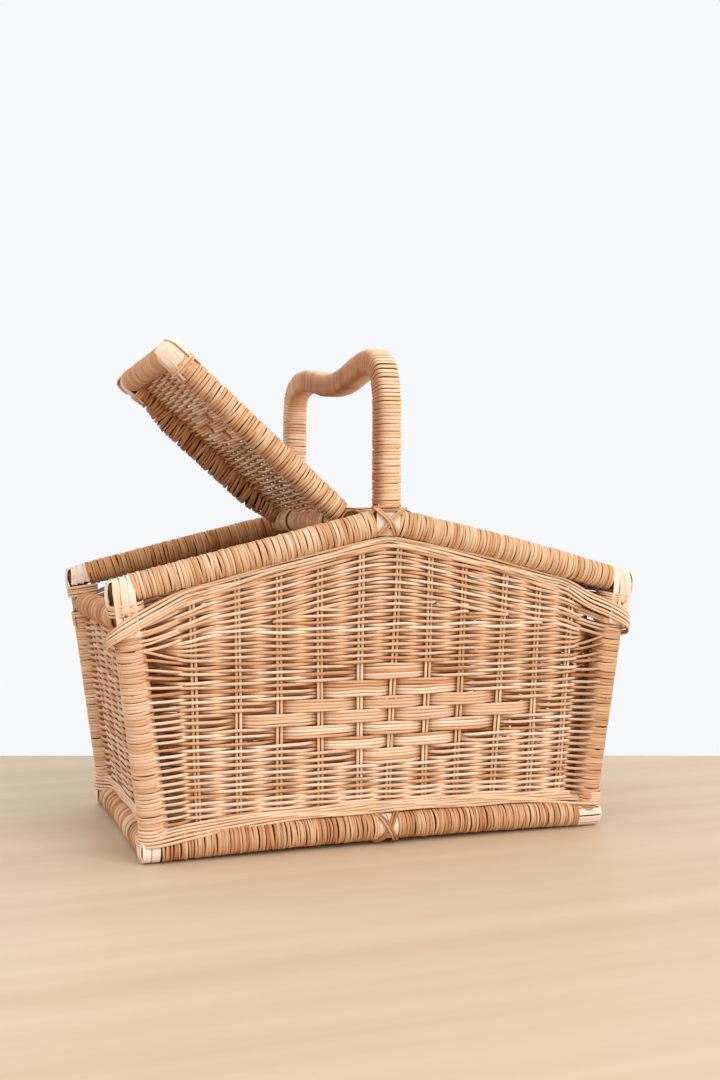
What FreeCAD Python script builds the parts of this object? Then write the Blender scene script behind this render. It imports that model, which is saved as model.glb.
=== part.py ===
import FreeCAD, Part
import math
import os
from FreeCAD import Vector as V

# Lidded wicker basket: pole frame bound with cane, woven sides, fixed hoop
# handle over the middle and two lids hinged on a ridge rail.
# Frame: origin at the middle of the footprint on the floor, +X along the
# width, +Y to the back, +Z up. All sizes in millimetres.

# ---- driving dimensions ------------------------------------------------
TOP_HALF_W = 205.0        # half width over the gable rail ends
TOP_HALF_D = 120.0        # half depth over the gable rails
BASE_HALF_W = 182.5       # half width over the base rails
BASE_HALF_D = 112.5       # half depth over the base rails
CORE_R = 8.0              # frame pole radius
WRAP_R = 10.0             # frame pole radius over its cane wrap
FOOT = 0.6                # flat worn on the underside of the base wraps
APEX_TOP = 251.0          # top of the gable rail at the middle
END_TOP = 202.0           # top of the gable rail at its ends
APEX_BEND = 40.0          # bend radius of the gable rail at the middle
POST_R = 9.0              # corner post radius
POST_WRAP_R = 12.5        # corner post radius over the weavers round it
POST_BASE = (170.0, 100.0)
POST_TOP = (192.5, 107.5)
POST_Z0, POST_Z1 = 20.0, 192.0
WEAVE_T = 7.0             # thickness of a side panel
STAKE_R = 1.15            # side stake rod radius
STAKE_PAIR = 2.9          # spacing of the two rods of a stake
LEG_Y = 112.0             # handle leg position
GRIP_HALF = 9.0           # half width of the handle over its wrap
GRIP_CORE = 7.75          # half width of the handle pole
RIDGE_R, RIDGE_WRAP_R = 6.5, 9.0
HINGE_X, HINGE_Z = 21.0, 241.0
LID_LEN = 180.0           # hinge rail axis to outer rail axis
LID_HALF = 97.0           # half length of the hinge and outer rails
LID_SIDE_Y = 87.5         # lid side rail axis
LID_CORE_R, LID_WRAP_R = 7.5, 9.5
LID_CLOSED = 15.2         # fall of a closed lid below the horizontal, degrees
LID_REST_OPEN = 42.4      # rise of the open left lid above the horizontal
LOOP_CLEAR = 0.35         # running clearance of the hinge loops
LOOP_T = 1.5              # thickness of the hinge loop cane
END_RAIL_X, END_RAIL_Z = 191.0, 174.2

BASE_Z = WRAP_R - FOOT
BASE_Y = BASE_HALF_D - WRAP_R
BASE_X = BASE_HALF_W - WRAP_R
GABLE_Y = TOP_HALF_D - WRAP_R

parts = {}


# ---- helpers -------------------------------------------------------------
def bar(p0, p1, r):
    d = p1 - p0
    return Part.makeCylinder(r, d.Length, p0, d)


def sleeve(p0, p1, ri, ro):
    return bar(p0, p1, ro).cut(bar(p0, p1, ri))


def box(x0, x1, y0, y1, z0, z1):
    return Part.makeBox(x1 - x0, y1 - y0, z1 - z0, V(x0, y0, z0))


def prism(points, vec):
    w = Part.makePolygon(list(points) + [points[0]])
    return Part.Face(w).extrude(vec)


def mirror_x(s):
    return s.mirror(V(0, 0, 0), V(1, 0, 0))


def mirror_y(s):
    return s.mirror(V(0, 0, 0), V(0, 1, 0))


def add(name, shapes):
    if not isinstance(shapes, (list, tuple)):
        shapes = [shapes]
    solids = []
    for s in shapes:
        solids += s.Solids
    parts[name] = solids[0] if len(solids) == 1 else Part.makeCompound(solids)


# ---- gable rails -----------------------------------------------------------
# Two straight slopes that meet in one bend. The slope is set so that the rail
# tops pass through END_TOP at the ends and APEX_TOP in the middle.
def solve_slope():
    s = math.radians(13.0)
    for _ in range(60):
        sharp = APEX_TOP - WRAP_R + APEX_BEND * (1 / math.cos(s) - 1)
        end = END_TOP - WRAP_R / math.cos(s)
        s = math.atan((sharp - end) / TOP_HALF_W)
    return s, sharp


SLOPE, GABLE_SHARP = solve_slope()
BEND_X = APEX_BEND * math.sin(SLOPE)


def gable_z(x):
    return GABLE_SHARP - abs(x) * math.tan(SLOPE)


def gable_pipe(y, x_end, r):
    zt = gable_z(BEND_X)
    p0 = V(-x_end, y, gable_z(x_end))
    p1 = V(-BEND_X, y, zt)
    pm = V(0, y, APEX_TOP - WRAP_R)
    p2 = V(BEND_X, y, zt)
    p3 = V(x_end, y, gable_z(x_end))
    wire = Part.Wire([Part.makeLine(p0, p1),
                      Part.Arc(p1, pm, p2).toShape(),
                      Part.makeLine(p2, p3)])
    t = (p1 - p0).normalize()
    prof = Part.Wire([Part.makeCircle(r, p0, t)])
    return wire.makePipeShell([prof], True, False)


STRAP_LEN = 16.5          # length of rail end covered by straps, no wrap
for tag, sy in (("front", -1), ("back", 1)):
    add("gable_rail_" + tag, gable_pipe(sy * GABLE_Y, TOP_HALF_W - 0.8, CORE_R))
wraps = []
for sy in (-1, 1):
    xe = TOP_HALF_W - STRAP_LEN
    wraps.append(gable_pipe(sy * GABLE_Y, xe, WRAP_R)
                 .cut(gable_pipe(sy * GABLE_Y, xe + 2, CORE_R)))
add("gable_rail_wraps", wraps)

# ---- base frame ------------------------------------------------------------
# Front and back poles run the full width, the end poles fit between them.
xe = BASE_HALF_W - 0.8
ye = BASE_Y - WRAP_R - 0.05
for tag, sy in (("front", -1), ("back", 1)):
    add("base_rail_" + tag, bar(V(-xe, sy * BASE_Y, BASE_Z),
                                V(xe, sy * BASE_Y, BASE_Z), CORE_R))
for tag, sx in (("left", -1), ("right", 1)):
    add("base_rail_" + tag, bar(V(sx * BASE_X, -ye, BASE_Z),
                                V(sx * BASE_X, ye, BASE_Z), CORE_R))
below_floor = box(-300, 300, -300, 300, -20, 0)
wraps = []
xw = BASE_HALF_W - 20.0
for sy in (-1, 1):
    wraps.append(sleeve(V(-xw, sy * BASE_Y, BASE_Z), V(xw, sy * BASE_Y, BASE_Z),
                        CORE_R, WRAP_R).cut(below_floor))
for sx in (-1, 1):
    wraps.append(sleeve(V(sx * BASE_X, -ye, BASE_Z), V(sx * BASE_X, ye, BASE_Z),
                        CORE_R, WRAP_R).cut(below_floor))
add("base_rail_wraps", wraps)
add("base_cross_rail", bar(V(0, -ye, 7.4), V(0, ye, 7.4), 6.0))

# straps bound round the bare ends of the front and back base rails
straps = []
for sy in (-1, 1):
    for sx in (-1, 1):
        for k in range(3):
            x0 = xw + 0.4 + k * 6.1
            straps.append(sleeve(V(sx * x0, sy * BASE_Y, BASE_Z),
                                 V(sx * (x0 + 5.7), sy * BASE_Y, BASE_Z),
                                 CORE_R, CORE_R + 1.2))
add("base_corner_straps", straps)

# ---- floor -------------------------------------------------------------------
# Two woven layers with the floor stakes between them.
fx, fy = 163.2, 93.2
fz0, fz1 = 13.5, 18.7
fm = (fz0 + fz1) / 2
add("floor_weave", [box(-fx, fx, -fy, fy, fz0, fm - STAKE_R),
                    box(-fx, fx, -fy, fy, fm + STAKE_R, fz1)])
rods = []
for i in range(-5, 6):
    for s in (-0.5, 0.5):
        x = i * 29.0 + s * STAKE_PAIR
        rods.append(bar(V(x, -fy, fm), V(x, fy, fm), STAKE_R))
add("floor_stakes", rods)


# ---- corner posts -----------------------------------------------------------
def post_xy(z):
    t = (z - POST_Z0) / (POST_Z1 - POST_Z0)
    return (POST_BASE[0] + t * (POST_TOP[0] - POST_BASE[0]),
            POST_BASE[1] + t * (POST_TOP[1] - POST_BASE[1]))


def post_piece(sx, sy, z0, z1, r):
    """Round post piece on the leaning corner line, cut level at both ends."""
    xa, ya = post_xy(z0 - 12)
    xb, yb = post_xy(z1 + 12)
    c = bar(V(sx * xa, sy * ya, z0 - 12), V(sx * xb, sy * yb, z1 + 12), r)
    return c.common(box(-300, 300, -300, 300, z0, z1))


post_top = gable_z(POST_TOP[0] + POST_R) - CORE_R / math.cos(SLOPE) - 0.1
wraps, binds = [], []
for ty, sy in (("front", -1), ("back", 1)):
    for tx, sx in (("left", -1), ("right", 1)):
        add("corner_post_%s_%s" % (ty, tx),
            post_piece(sx, sy, BASE_Z + WRAP_R + 0.05, post_top, POST_R))
        wraps.append(post_piece(sx, sy, 20.0, 163.0, POST_WRAP_R)
                     .cut(post_piece(sx, sy, 18.0, 165.0, POST_R)))
        binds.append(post_piece(sx, sy, 163.3, 175.0, 11.0)
                     .cut(post_piece(sx, sy, 161.0, 177.0, POST_R)))
add("corner_post_wraps", wraps)
add("corner_post_bindings", binds)

# ---- end rails ----------------------------------------------------------------
ey = 95.2
for tag, sx in (("left", -1), ("right", 1)):
    add("end_rail_" + tag, bar(V(sx * END_RAIL_X, -ey, END_RAIL_Z),
                               V(sx * END_RAIL_X, ey, END_RAIL_Z), CORE_R))
add("end_rail_wraps", [sleeve(V(sx * END_RAIL_X, -ey, END_RAIL_Z),
                              V(sx * END_RAIL_X, ey, END_RAIL_Z), CORE_R, WRAP_R)
                       for sx in (-1, 1)])

# ---- ridge rail -----------------------------------------------------------------
ry = GABLE_Y - WRAP_R - 0.05
add("ridge_rail", bar(V(0, -ry, HINGE_Z), V(0, ry, HINGE_Z), RIDGE_R))
add("ridge_rail_wrap", sleeve(V(0, -ry, HINGE_Z), V(0, ry, HINGE_Z),
                              RIDGE_R, RIDGE_WRAP_R))


# ---- side panels -------------------------------------------------------------------
# Every panel is two woven layers, outside and inside, with the paired stakes
# standing between them. The panel plane leans with the corner posts.
def panel(points, normal, t):
    """Two layers of total thickness t about the plane of the points."""
    half = t / 2
    out = []
    for a, b in ((-half, -STAKE_R), (STAKE_R, half)):
        out.append(prism([p + normal * a for p in points], normal * (b - a)))
    return out


def fb_point(x, z):
    return V(x, -post_xy(z)[1], z)


z_low = BASE_Z + WRAP_R + 0.55
top_gap = WRAP_R / math.cos(SLOPE) + 0.05


def fb_half(z):
    return post_xy(z)[0] - POST_WRAP_R / math.cos(math.radians(7.5)) - 0.15


ze = END_TOP
for _ in range(40):
    ze = gable_z(fb_half(ze)) - top_gap
zt = gable_z(BEND_X) - top_gap
pts = [fb_point(-fb_half(z_low), z_low), fb_point(fb_half(z_low), z_low),
       fb_point(fb_half(ze), ze), fb_point(BEND_X, zt),
       fb_point(-BEND_X, zt), fb_point(-fb_half(ze), ze)]
n_fb = (pts[1] - pts[0]).cross(pts[3] - pts[0]).normalize()
front = panel(pts, n_fb, WEAVE_T)
rods = []
for i in range(-5, 6):
    z1 = END_TOP
    for _ in range(40):
        z1 = gable_z(max(BEND_X, abs(i) / 6.0 * post_xy(z1)[0] + 3)) - top_gap - 0.3
    for s in (-0.5, 0.5):
        za = z_low + 0.3
        xa = i / 6.0 * post_xy(za)[0] + s * STAKE_PAIR
        xb = i / 6.0 * post_xy(z1)[0] + s * STAKE_PAIR
        rods.append(bar(fb_point(xa, za), fb_point(xb, z1), STAKE_R))
add("front_panel_weave", front)
add("front_panel_stakes", rods)
add("back_panel_weave", [mirror_y(s) for s in front])
add("back_panel_stakes", [mirror_y(s) for s in rods])


def lr_point(y, z):
    return V(-post_xy(z)[0], y, z)


def lr_half(z):
    return post_xy(z)[1] - POST_WRAP_R / math.cos(math.radians(2.5)) - 0.15


z1 = END_RAIL_Z - WRAP_R - 0.05
pts = [lr_point(-lr_half(z_low), z_low), lr_point(-lr_half(z1), z1),
       lr_point(lr_half(z1), z1), lr_point(lr_half(z_low), z_low)]
n_lr = (pts[1] - pts[0]).cross(pts[2] - pts[0]).normalize()
left = panel(pts, n_lr, WEAVE_T)
rods = []
for j in range(-2, 3):
    for s in (-0.5, 0.5):
        za, zb = z_low + 0.3, z1 - 0.3
        rods.append(bar(lr_point(j / 3.0 * post_xy(za)[1] + s * STAKE_PAIR, za),
                        lr_point(j / 3.0 * post_xy(zb)[1] + s * STAKE_PAIR, zb),
                        STAKE_R))
add("left_panel_weave", left)
add("left_panel_stakes", rods)
add("right_panel_weave", [mirror_x(s) for s in left])
add("right_panel_stakes", [mirror_x(s) for s in rods])

# ---- straps over the gable rail ends -------------------------------------------
# Each splint goes over the bare rail end, down the outside of the post and a
# little way down the inside.
straps = []
for k in range(3):
    w = 4.9
    prof = Part.makeCylinder(CORE_R + 1.2, w, V(0, 0, 0), V(1, 0, 0))
    prof = prof.common(box(-1, w + 1, -20, 20, 0, 20))
    prof = prof.fuse(box(0, w, -CORE_R - 1.2, -CORE_R, -22, 0))
    prof = prof.fuse(box(0, w, CORE_R, CORE_R + 1.2, -5.5, 0))
    prof = prof.cut(Part.makeCylinder(CORE_R, w + 4, V(-2, 0, 0), V(1, 0, 0)))
    prof = prof.removeSplitter()
    m = FreeCAD.Placement(V(0, 0, 0), FreeCAD.Rotation(V(0, 1, 0), math.degrees(SLOPE)))
    x0 = TOP_HALF_W - 1.0 - 5.25 * (k + 1) * math.cos(SLOPE)
    s = prof.copy()
    s.Placement = m
    s.translate(V(x0, -GABLE_Y, gable_z(x0)))
    straps += [s, mirror_x(s), mirror_y(s), mirror_x(mirror_y(s))]
add("top_corner_straps", straps)

# ---- handle ---------------------------------------------------------------------
# One steamed pole of rounded square section: up from the front apex, over two
# humps with a dip for the hand, and down to the back apex.
path = [(-112.0, 236.0), (-112.0, 262.0), (-112.2, 290.0), (-112.6, 318.0),
        (-111.8, 336.0), (-106.5, 351.5), (-95.0, 360.0), (-78.0, 362.2),
        (-52.0, 359.0), (-26.0, 354.2), (0.0, 352.4)]
path = path + [(-y, z) for y, z in reversed(path[:-1])]
spl = Part.BSplineCurve()
spl.interpolate([V(0, y, z) for y, z in path])
hoop = Part.Wire([spl.toShape()])


def square_wire(centre, half, rad):
    x0, y0, z0 = centre
    a = half - rad
    k = rad * (1 - math.sqrt(0.5))
    e = []
    pts8 = [(-a, -half), (a, -half), (half, -a), (half, a),
            (a, half), (-a, half), (-half, a), (-half, -a)]
    mids = {1: (half - k, -half + k), 3: (half - k, half - k),
            5: (-half + k, half - k), 7: (-half + k, -half + k)}
    P = [V(x0 + p[0], y0 + p[1], z0) for p in pts8]
    for i in range(8):
        q = P[(i + 1) % 8]
        if i in mids:
            m = V(x0 + mids[i][0], y0 + mids[i][1], z0)
            e.append(Part.Arc(P[i], m, q).toShape())
        else:
            e.append(Part.makeLine(P[i], q))
    return Part.Wire(e)


start = (0.0, path[0][0], path[0][1])
gable_over = gable_pipe(-GABLE_Y, 60.0, WRAP_R)
gable_over_b = mirror_y(gable_over)
core = hoop.makePipeShell([square_wire(start, GRIP_CORE, 2.6)], True, False)
skin = hoop.makePipeShell([square_wire(start, GRIP_HALF, 3.6)], True, False)
below_apex = box(-40, 40, -140, 140, 200, HINGE_Z + 1.5)
core = core.cut(gable_over).cut(gable_over_b).cut(below_apex)
skin = skin.cut(box(-40, 40, -140, 140, 200, 262)).cut(
    hoop.makePipeShell([square_wire(start, GRIP_CORE, 2.6)], True, False))
add("handle_pole", core)
add("handle_wrap", skin)

# strap from the foot of each handle leg down over the gable rail
prof = Part.makeCylinder(WRAP_R + 1.25, 14.0, V(-7, 0, 0), V(1, 0, 0))
prof = prof.common(box(-8, 8, -20, 5.0, -20, 0))
prof = prof.fuse(box(-7, 7, -WRAP_R - 1.25, -WRAP_R - 0.05, 0, 20.5))
prof = prof.cut(Part.makeCylinder(WRAP_R + 0.05, 18, V(-9, 0, 0), V(1, 0, 0)))
prof = prof.removeSplitter()
prof.translate(V(0, -GABLE_Y, HINGE_Z))
for s in front + [gable_pipe(-GABLE_Y, 60.0, WRAP_R + 0.03)]:
    prof = prof.cut(s)
add("handle_foot_straps", [prof, mirror_y(prof)])


# crossed cane lashings over the straps
def cross_plate(y0, y1, zc, half_x, half_z, w):
    out = None
    for sgn in (-1, 1):
        d = V(2 * half_x, 0, 2 * half_z * sgn)
        L = d.Length
        b = box(-L / 2, L / 2, y0, y1, -w / 2, w / 2)
        b.rotate(V(0, 0, 0), V(0, 1, 0), -math.degrees(math.atan2(d.z, d.x)))
        b.translate(V(0, 0, zc))
        out = b if out is None else out.fuse(b)
    return out.removeSplitter()


y_out = -GABLE_Y - WRAP_R - 1.3
lash = cross_plate(y_out - 1.0, y_out, HINGE_Z, 8.0, 7.0, 3.4)
add("handle_lashings", [lash, mirror_y(lash)])
yb = -BASE_HALF_D - 0.05
lash = cross_plate(yb - 1.0, yb, BASE_Z, 7.5, 7.0, 3.2)
add("base_lashings", [lash, mirror_y(lash)])

# nails: one through each foot strap, one through each post strap
nails = []
for sy in (-1, 1):
    y0 = sy * (GABLE_Y + WRAP_R + 1.3)
    nails.append(bar(V(0, y0, 255.5), V(0, y0 + sy * 0.9, 255.5), 1.5))
    for sx in (-1, 1):
        px, py = post_xy(178.0)
        y1 = sy * (GABLE_Y + CORE_R + 1.25)
        nails.append(bar(V(sx * (TOP_HALF_W - 11.0), y1, 181.0),
                         V(sx * (TOP_HALF_W - 11.0), y1 + sy * 0.9, 181.0), 1.4))
add("nails", nails)


# ---- lids ---------------------------------------------------------------------
# Built flat with the hinge rail axis on Y through the origin and the lid
# reaching out along +X, then tipped to its rest angle.
def make_lid(loop_ys):
    L = {}
    L["hinge_rail"] = [bar(V(0, -LID_HALF, 0), V(0, LID_HALF, 0), LID_CORE_R)]
    L["outer_rail"] = [bar(V(LID_LEN, -LID_HALF, 0), V(LID_LEN, LID_HALF, 0), LID_CORE_R)]
    u0, u1 = LID_WRAP_R + 0.05, LID_LEN - LID_WRAP_R - 0.05
    L["side_rails"] = [bar(V(u0, s * LID_SIDE_Y, 0), V(u1, s * LID_SIDE_Y, 0), LID_CORE_R)
                       for s in (-1, 1)]
    strap_u = u1 - 15.0
    L["rail_wraps"] = [
        sleeve(V(0, -LID_HALF, 0), V(0, LID_HALF, 0), LID_CORE_R, LID_WRAP_R),
        sleeve(V(LID_LEN, -LID_SIDE_Y + 8.3, 0), V(LID_LEN, LID_SIDE_Y - 8.3, 0),
               LID_CORE_R, LID_WRAP_R)]
    L["rail_wraps"] += [sleeve(V(u0, s * LID_SIDE_Y, 0),
                               V(strap_u - 0.3, s * LID_SIDE_Y, 0),
                               LID_CORE_R, LID_WRAP_R) for s in (-1, 1)]
    # three splints per corner: along the side rail, round the outer rail
    st = []
    t = 1.2
    for s in (-1, 1):
        for k in (-1, 0, 1):
            yc = s * LID_SIDE_Y + k * 5.2
            u = Part.makeCylinder(LID_CORE_R + t, 4.9, V(LID_LEN, yc - 2.45, 0), V(0, 1, 0))
            u = u.common(box(LID_LEN, LID_LEN + 30, yc - 3, yc + 3, -30, 30))
            u = u.fuse(box(strap_u, LID_LEN, yc - 2.45, yc + 2.45, LID_CORE_R, LID_CORE_R + t))
            u = u.fuse(box(strap_u, LID_LEN, yc - 2.45, yc + 2.45, -LID_CORE_R - t, -LID_CORE_R))
            u = u.cut(Part.makeCylinder(LID_CORE_R, 8, V(LID_LEN, yc - 4, 0), V(0, 1, 0)))
            st.append(u.removeSplitter())
    L["corner_straps"] = st
    vy = LID_SIDE_Y - LID_WRAP_R - 0.1
    rs = 1.1
    layers = []
    for a, b in ((-3.0, -rs), (rs, 3.0)):
        pl = box(u0, u1, -vy, vy, a, b)
        for ly in loop_ys:
            pl = pl.cut(box(u0 - 1, LID_WRAP_R + LOOP_T + 1.4, ly - 6.2, ly + 6.2, -5, 5))
        layers.append(pl)
    L["weave"] = layers
    st = []
    for j in range(-2, 3):
        for s in (-0.5, 0.5):
            y = j * 29.0 + s * 2.8
            st.append(bar(V(u0 + 0.3, y, 0), V(u1 - 0.3, y, 0), rs))
    L["stakes"] = st
    return L


def place_lid(shape, tip_deg, flip):
    s = shape.copy()
    s.rotate(V(0, 0, 0), V(0, 1, 0), tip_deg)
    s.translate(V(HINGE_X, 0, HINGE_Z))
    return mirror_x(s) if flip else s


LOOPS = {"left": (-50.0, 50.0), "right": (-38.0, 38.0)}
for side, tip, flip in (("left", -LID_REST_OPEN, True), ("right", LID_CLOSED, False)):
    lid = make_lid(LOOPS[side])
    for key, shapes in lid.items():
        add("%s_lid_%s" % (side, key), [place_lid(s, tip, flip) for s in shapes])


# ---- hinge loops ----------------------------------------------------------------
# Cane turns round the ridge rail and a lid's hinge rail. They are fast on the
# ridge rail; the lid rail turns inside them.
def belt(r_ridge, r_hinge, y0, y1):
    """Solid between two circles joined by their outer tangents."""
    a = V(0, y0, HINGE_Z)
    b = V(HINGE_X, y0, HINGE_Z)
    th = math.acos((r_ridge - r_hinge) / HINGE_X)
    dx, dz = math.cos(th), math.sin(th)
    quad = [V(r_ridge * dx, y0, HINGE_Z + r_ridge * dz),
            V(HINGE_X + r_hinge * dx, y0, HINGE_Z + r_hinge * dz),
            V(HINGE_X + r_hinge * dx, y0, HINGE_Z - r_hinge * dz),
            V(r_ridge * dx, y0, HINGE_Z - r_ridge * dz)]
    s = prism(quad, V(0, y1 - y0, 0))
    s = s.fuse(Part.makeCylinder(r_ridge, y1 - y0, a, V(0, 1, 0)))
    s = s.fuse(Part.makeCylinder(r_hinge, y1 - y0, b, V(0, 1, 0)))
    return s.removeSplitter()


for side, flip in (("left", True), ("right", False)):
    loops = []
    for ly in LOOPS[side]:
        for off in (-2.4, 2.4):
            y0, y1 = ly + off - 2.1, ly + off + 2.1
            r_in = LID_WRAP_R + LOOP_CLEAR
            s = belt(RIDGE_WRAP_R + LOOP_T, r_in + LOOP_T, y0, y1)
            s = s.cut(belt(RIDGE_WRAP_R + 0.02, r_in, y0 - 1, y1 + 1))
            loops.append(mirror_x(s) if flip else s)
    add("hinge_loops_" + side, loops)

# ---- write every sub-part ------------------------------------------------------
os.makedirs("parts", exist_ok=True)
for name in sorted(parts):
    shape = parts[name]
    for s in shape.Solids:
        if not s.isValid() or s.Volume <= 0:
            print("BAD SOLID", name, s.Volume)
    shape.exportStep("parts/%s.step" % name)
    bb = shape.BoundBox
    print("%-26s %3d solids  x %7.1f %7.1f  y %7.1f %7.1f  z %6.1f %6.1f" % (
        name, len(shape.Solids), bb.XMin, bb.XMax, bb.YMin, bb.YMax, bb.ZMin, bb.ZMax))
print(len(parts), "nodes")
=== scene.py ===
import bpy
import math
import numpy as np
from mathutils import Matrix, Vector


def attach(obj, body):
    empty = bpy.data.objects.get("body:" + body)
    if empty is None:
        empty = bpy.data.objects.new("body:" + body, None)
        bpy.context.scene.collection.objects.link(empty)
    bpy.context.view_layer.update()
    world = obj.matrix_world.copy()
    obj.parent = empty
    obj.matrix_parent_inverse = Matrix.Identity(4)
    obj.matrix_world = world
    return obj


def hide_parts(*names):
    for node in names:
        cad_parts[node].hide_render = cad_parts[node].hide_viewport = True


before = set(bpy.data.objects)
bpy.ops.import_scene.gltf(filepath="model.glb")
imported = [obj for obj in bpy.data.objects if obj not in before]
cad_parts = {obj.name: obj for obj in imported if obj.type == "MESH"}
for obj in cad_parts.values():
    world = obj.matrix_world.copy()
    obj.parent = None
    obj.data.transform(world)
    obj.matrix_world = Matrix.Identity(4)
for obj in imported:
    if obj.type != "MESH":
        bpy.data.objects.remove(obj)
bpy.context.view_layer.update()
rng = np.random.default_rng(72)
MM = 0.001

# ---------------------------------------------------------------- dimensions, mm
TOP_HALF_W, TOP_HALF_D = 205.0, 120.0
BASE_HALF_W, BASE_HALF_D = 182.5, 112.5
APEX_TOP, END_TOP, APEX_BEND, WRAP_R = 251.0, 202.0, 40.0, 10.0
POST_BASE, POST_TOP, POST_Z0, POST_Z1 = (170.0, 100.0), (192.5, 107.5), 20.0, 192.0
HINGE_X, HINGE_Z, LID_LEN, LID_HALF, LID_SIDE_Y = 21.0, 241.0, 180.0, 97.0, 87.5
LID_CLOSED, LID_REST_OPEN = 15.2, 42.4
END_RAIL_X, END_RAIL_Z = 191.0, 174.2
GABLE_Y, BASE_Y, BASE_X = 110.0, 102.5, 172.5
PITCH = 2.45


def solve_slope():
    s = math.radians(13.0)
    sharp = 0.0
    for _ in range(60):
        sharp = APEX_TOP - WRAP_R + APEX_BEND * (1 / math.cos(s) - 1)
        end = END_TOP - WRAP_R / math.cos(s)
        s = math.atan((sharp - end) / TOP_HALF_W)
    return s, sharp


SLOPE, SHARP = solve_slope()
BEND_X = APEX_BEND * math.sin(SLOPE)


def gable_z(x):
    """Height of the gable rail axis, with its round bend in the middle."""
    x = np.abs(np.asarray(x, float))
    arc = APEX_TOP - WRAP_R - APEX_BEND + np.sqrt(np.maximum(APEX_BEND ** 2 - x ** 2, 1.0))
    return np.where(x < BEND_X, arc, SHARP - x * math.tan(SLOPE))


def post_xy(z):
    t = (np.asarray(z, float) - POST_Z0) / (POST_Z1 - POST_Z0)
    return (POST_BASE[0] + t * (POST_TOP[0] - POST_BASE[0]),
            POST_BASE[1] + t * (POST_TOP[1] - POST_BASE[1]))


# ---------------------------------------------------------------- small maths
def unit(v):
    return v / np.maximum(np.linalg.norm(v, axis=-1, keepdims=True), 1e-9)


def smooth(t):
    t = np.clip(t, 0, 1)
    return t * t * (3 - 2 * t)


def cosine(t):
    return (1 - np.cos(np.pi * np.clip(t, 0, 1))) / 2


def value_noise(n_rows, n_cols, step_r, step_c, amp, seed):
    """Smooth random field on a rows x cols grid."""
    r = np.random.default_rng(seed)
    a = n_rows // step_r + 3
    b = n_cols // step_c + 3
    g = r.uniform(-1, 1, (a, b))
    i = np.arange(n_rows) / step_r
    j = np.arange(n_cols) / step_c
    i0, j0 = i.astype(int), j.astype(int)
    fi, fj = smooth(i - i0)[:, None], smooth(j - j0)[None]
    return amp * ((g[i0][:, j0] * (1 - fi) + g[i0 + 1][:, j0] * fi) * (1 - fj)
                  + (g[i0][:, j0 + 1] * (1 - fi) + g[i0 + 1][:, j0 + 1] * fi) * fj)


def spline(points, n):
    """Centripetal-free Catmull-Rom through control points, n samples in all."""
    p = np.asarray(points, float)
    q = np.vstack([2 * p[0] - p[1], p, 2 * p[-1] - p[-2]])
    d = np.concatenate([[0], np.cumsum(np.linalg.norm(np.diff(p, axis=0), axis=1))])
    u = np.linspace(0, d[-1], n)
    k = np.clip(np.searchsorted(d, u, side="right") - 1, 0, len(p) - 2)
    t = ((u - d[k]) / np.maximum(d[k + 1] - d[k], 1e-9))[:, None]
    a, b, c, e = q[k], q[k + 1], q[k + 2], q[k + 3]
    return 0.5 * (2 * b + (c - a) * t + (2 * a - 5 * b + 4 * c - e) * t ** 2
                  + (3 * b - a - 3 * c + e) * t ** 3)


def section(k, power=2.0, turn=0.0):
    a = 2 * np.pi * (np.arange(k) + turn) / k
    c, s = np.cos(a), np.sin(a)
    e = 2.0 / power
    return np.stack([np.sign(c) * np.abs(c) ** e, np.sign(s) * np.abs(s) ** e], 1)


ROUND6, ROUND8 = section(6), section(8)
FLAT8 = section(8, 3.2, 0.5)
SPLINT = section(12, 7.0, 0.5)


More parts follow.
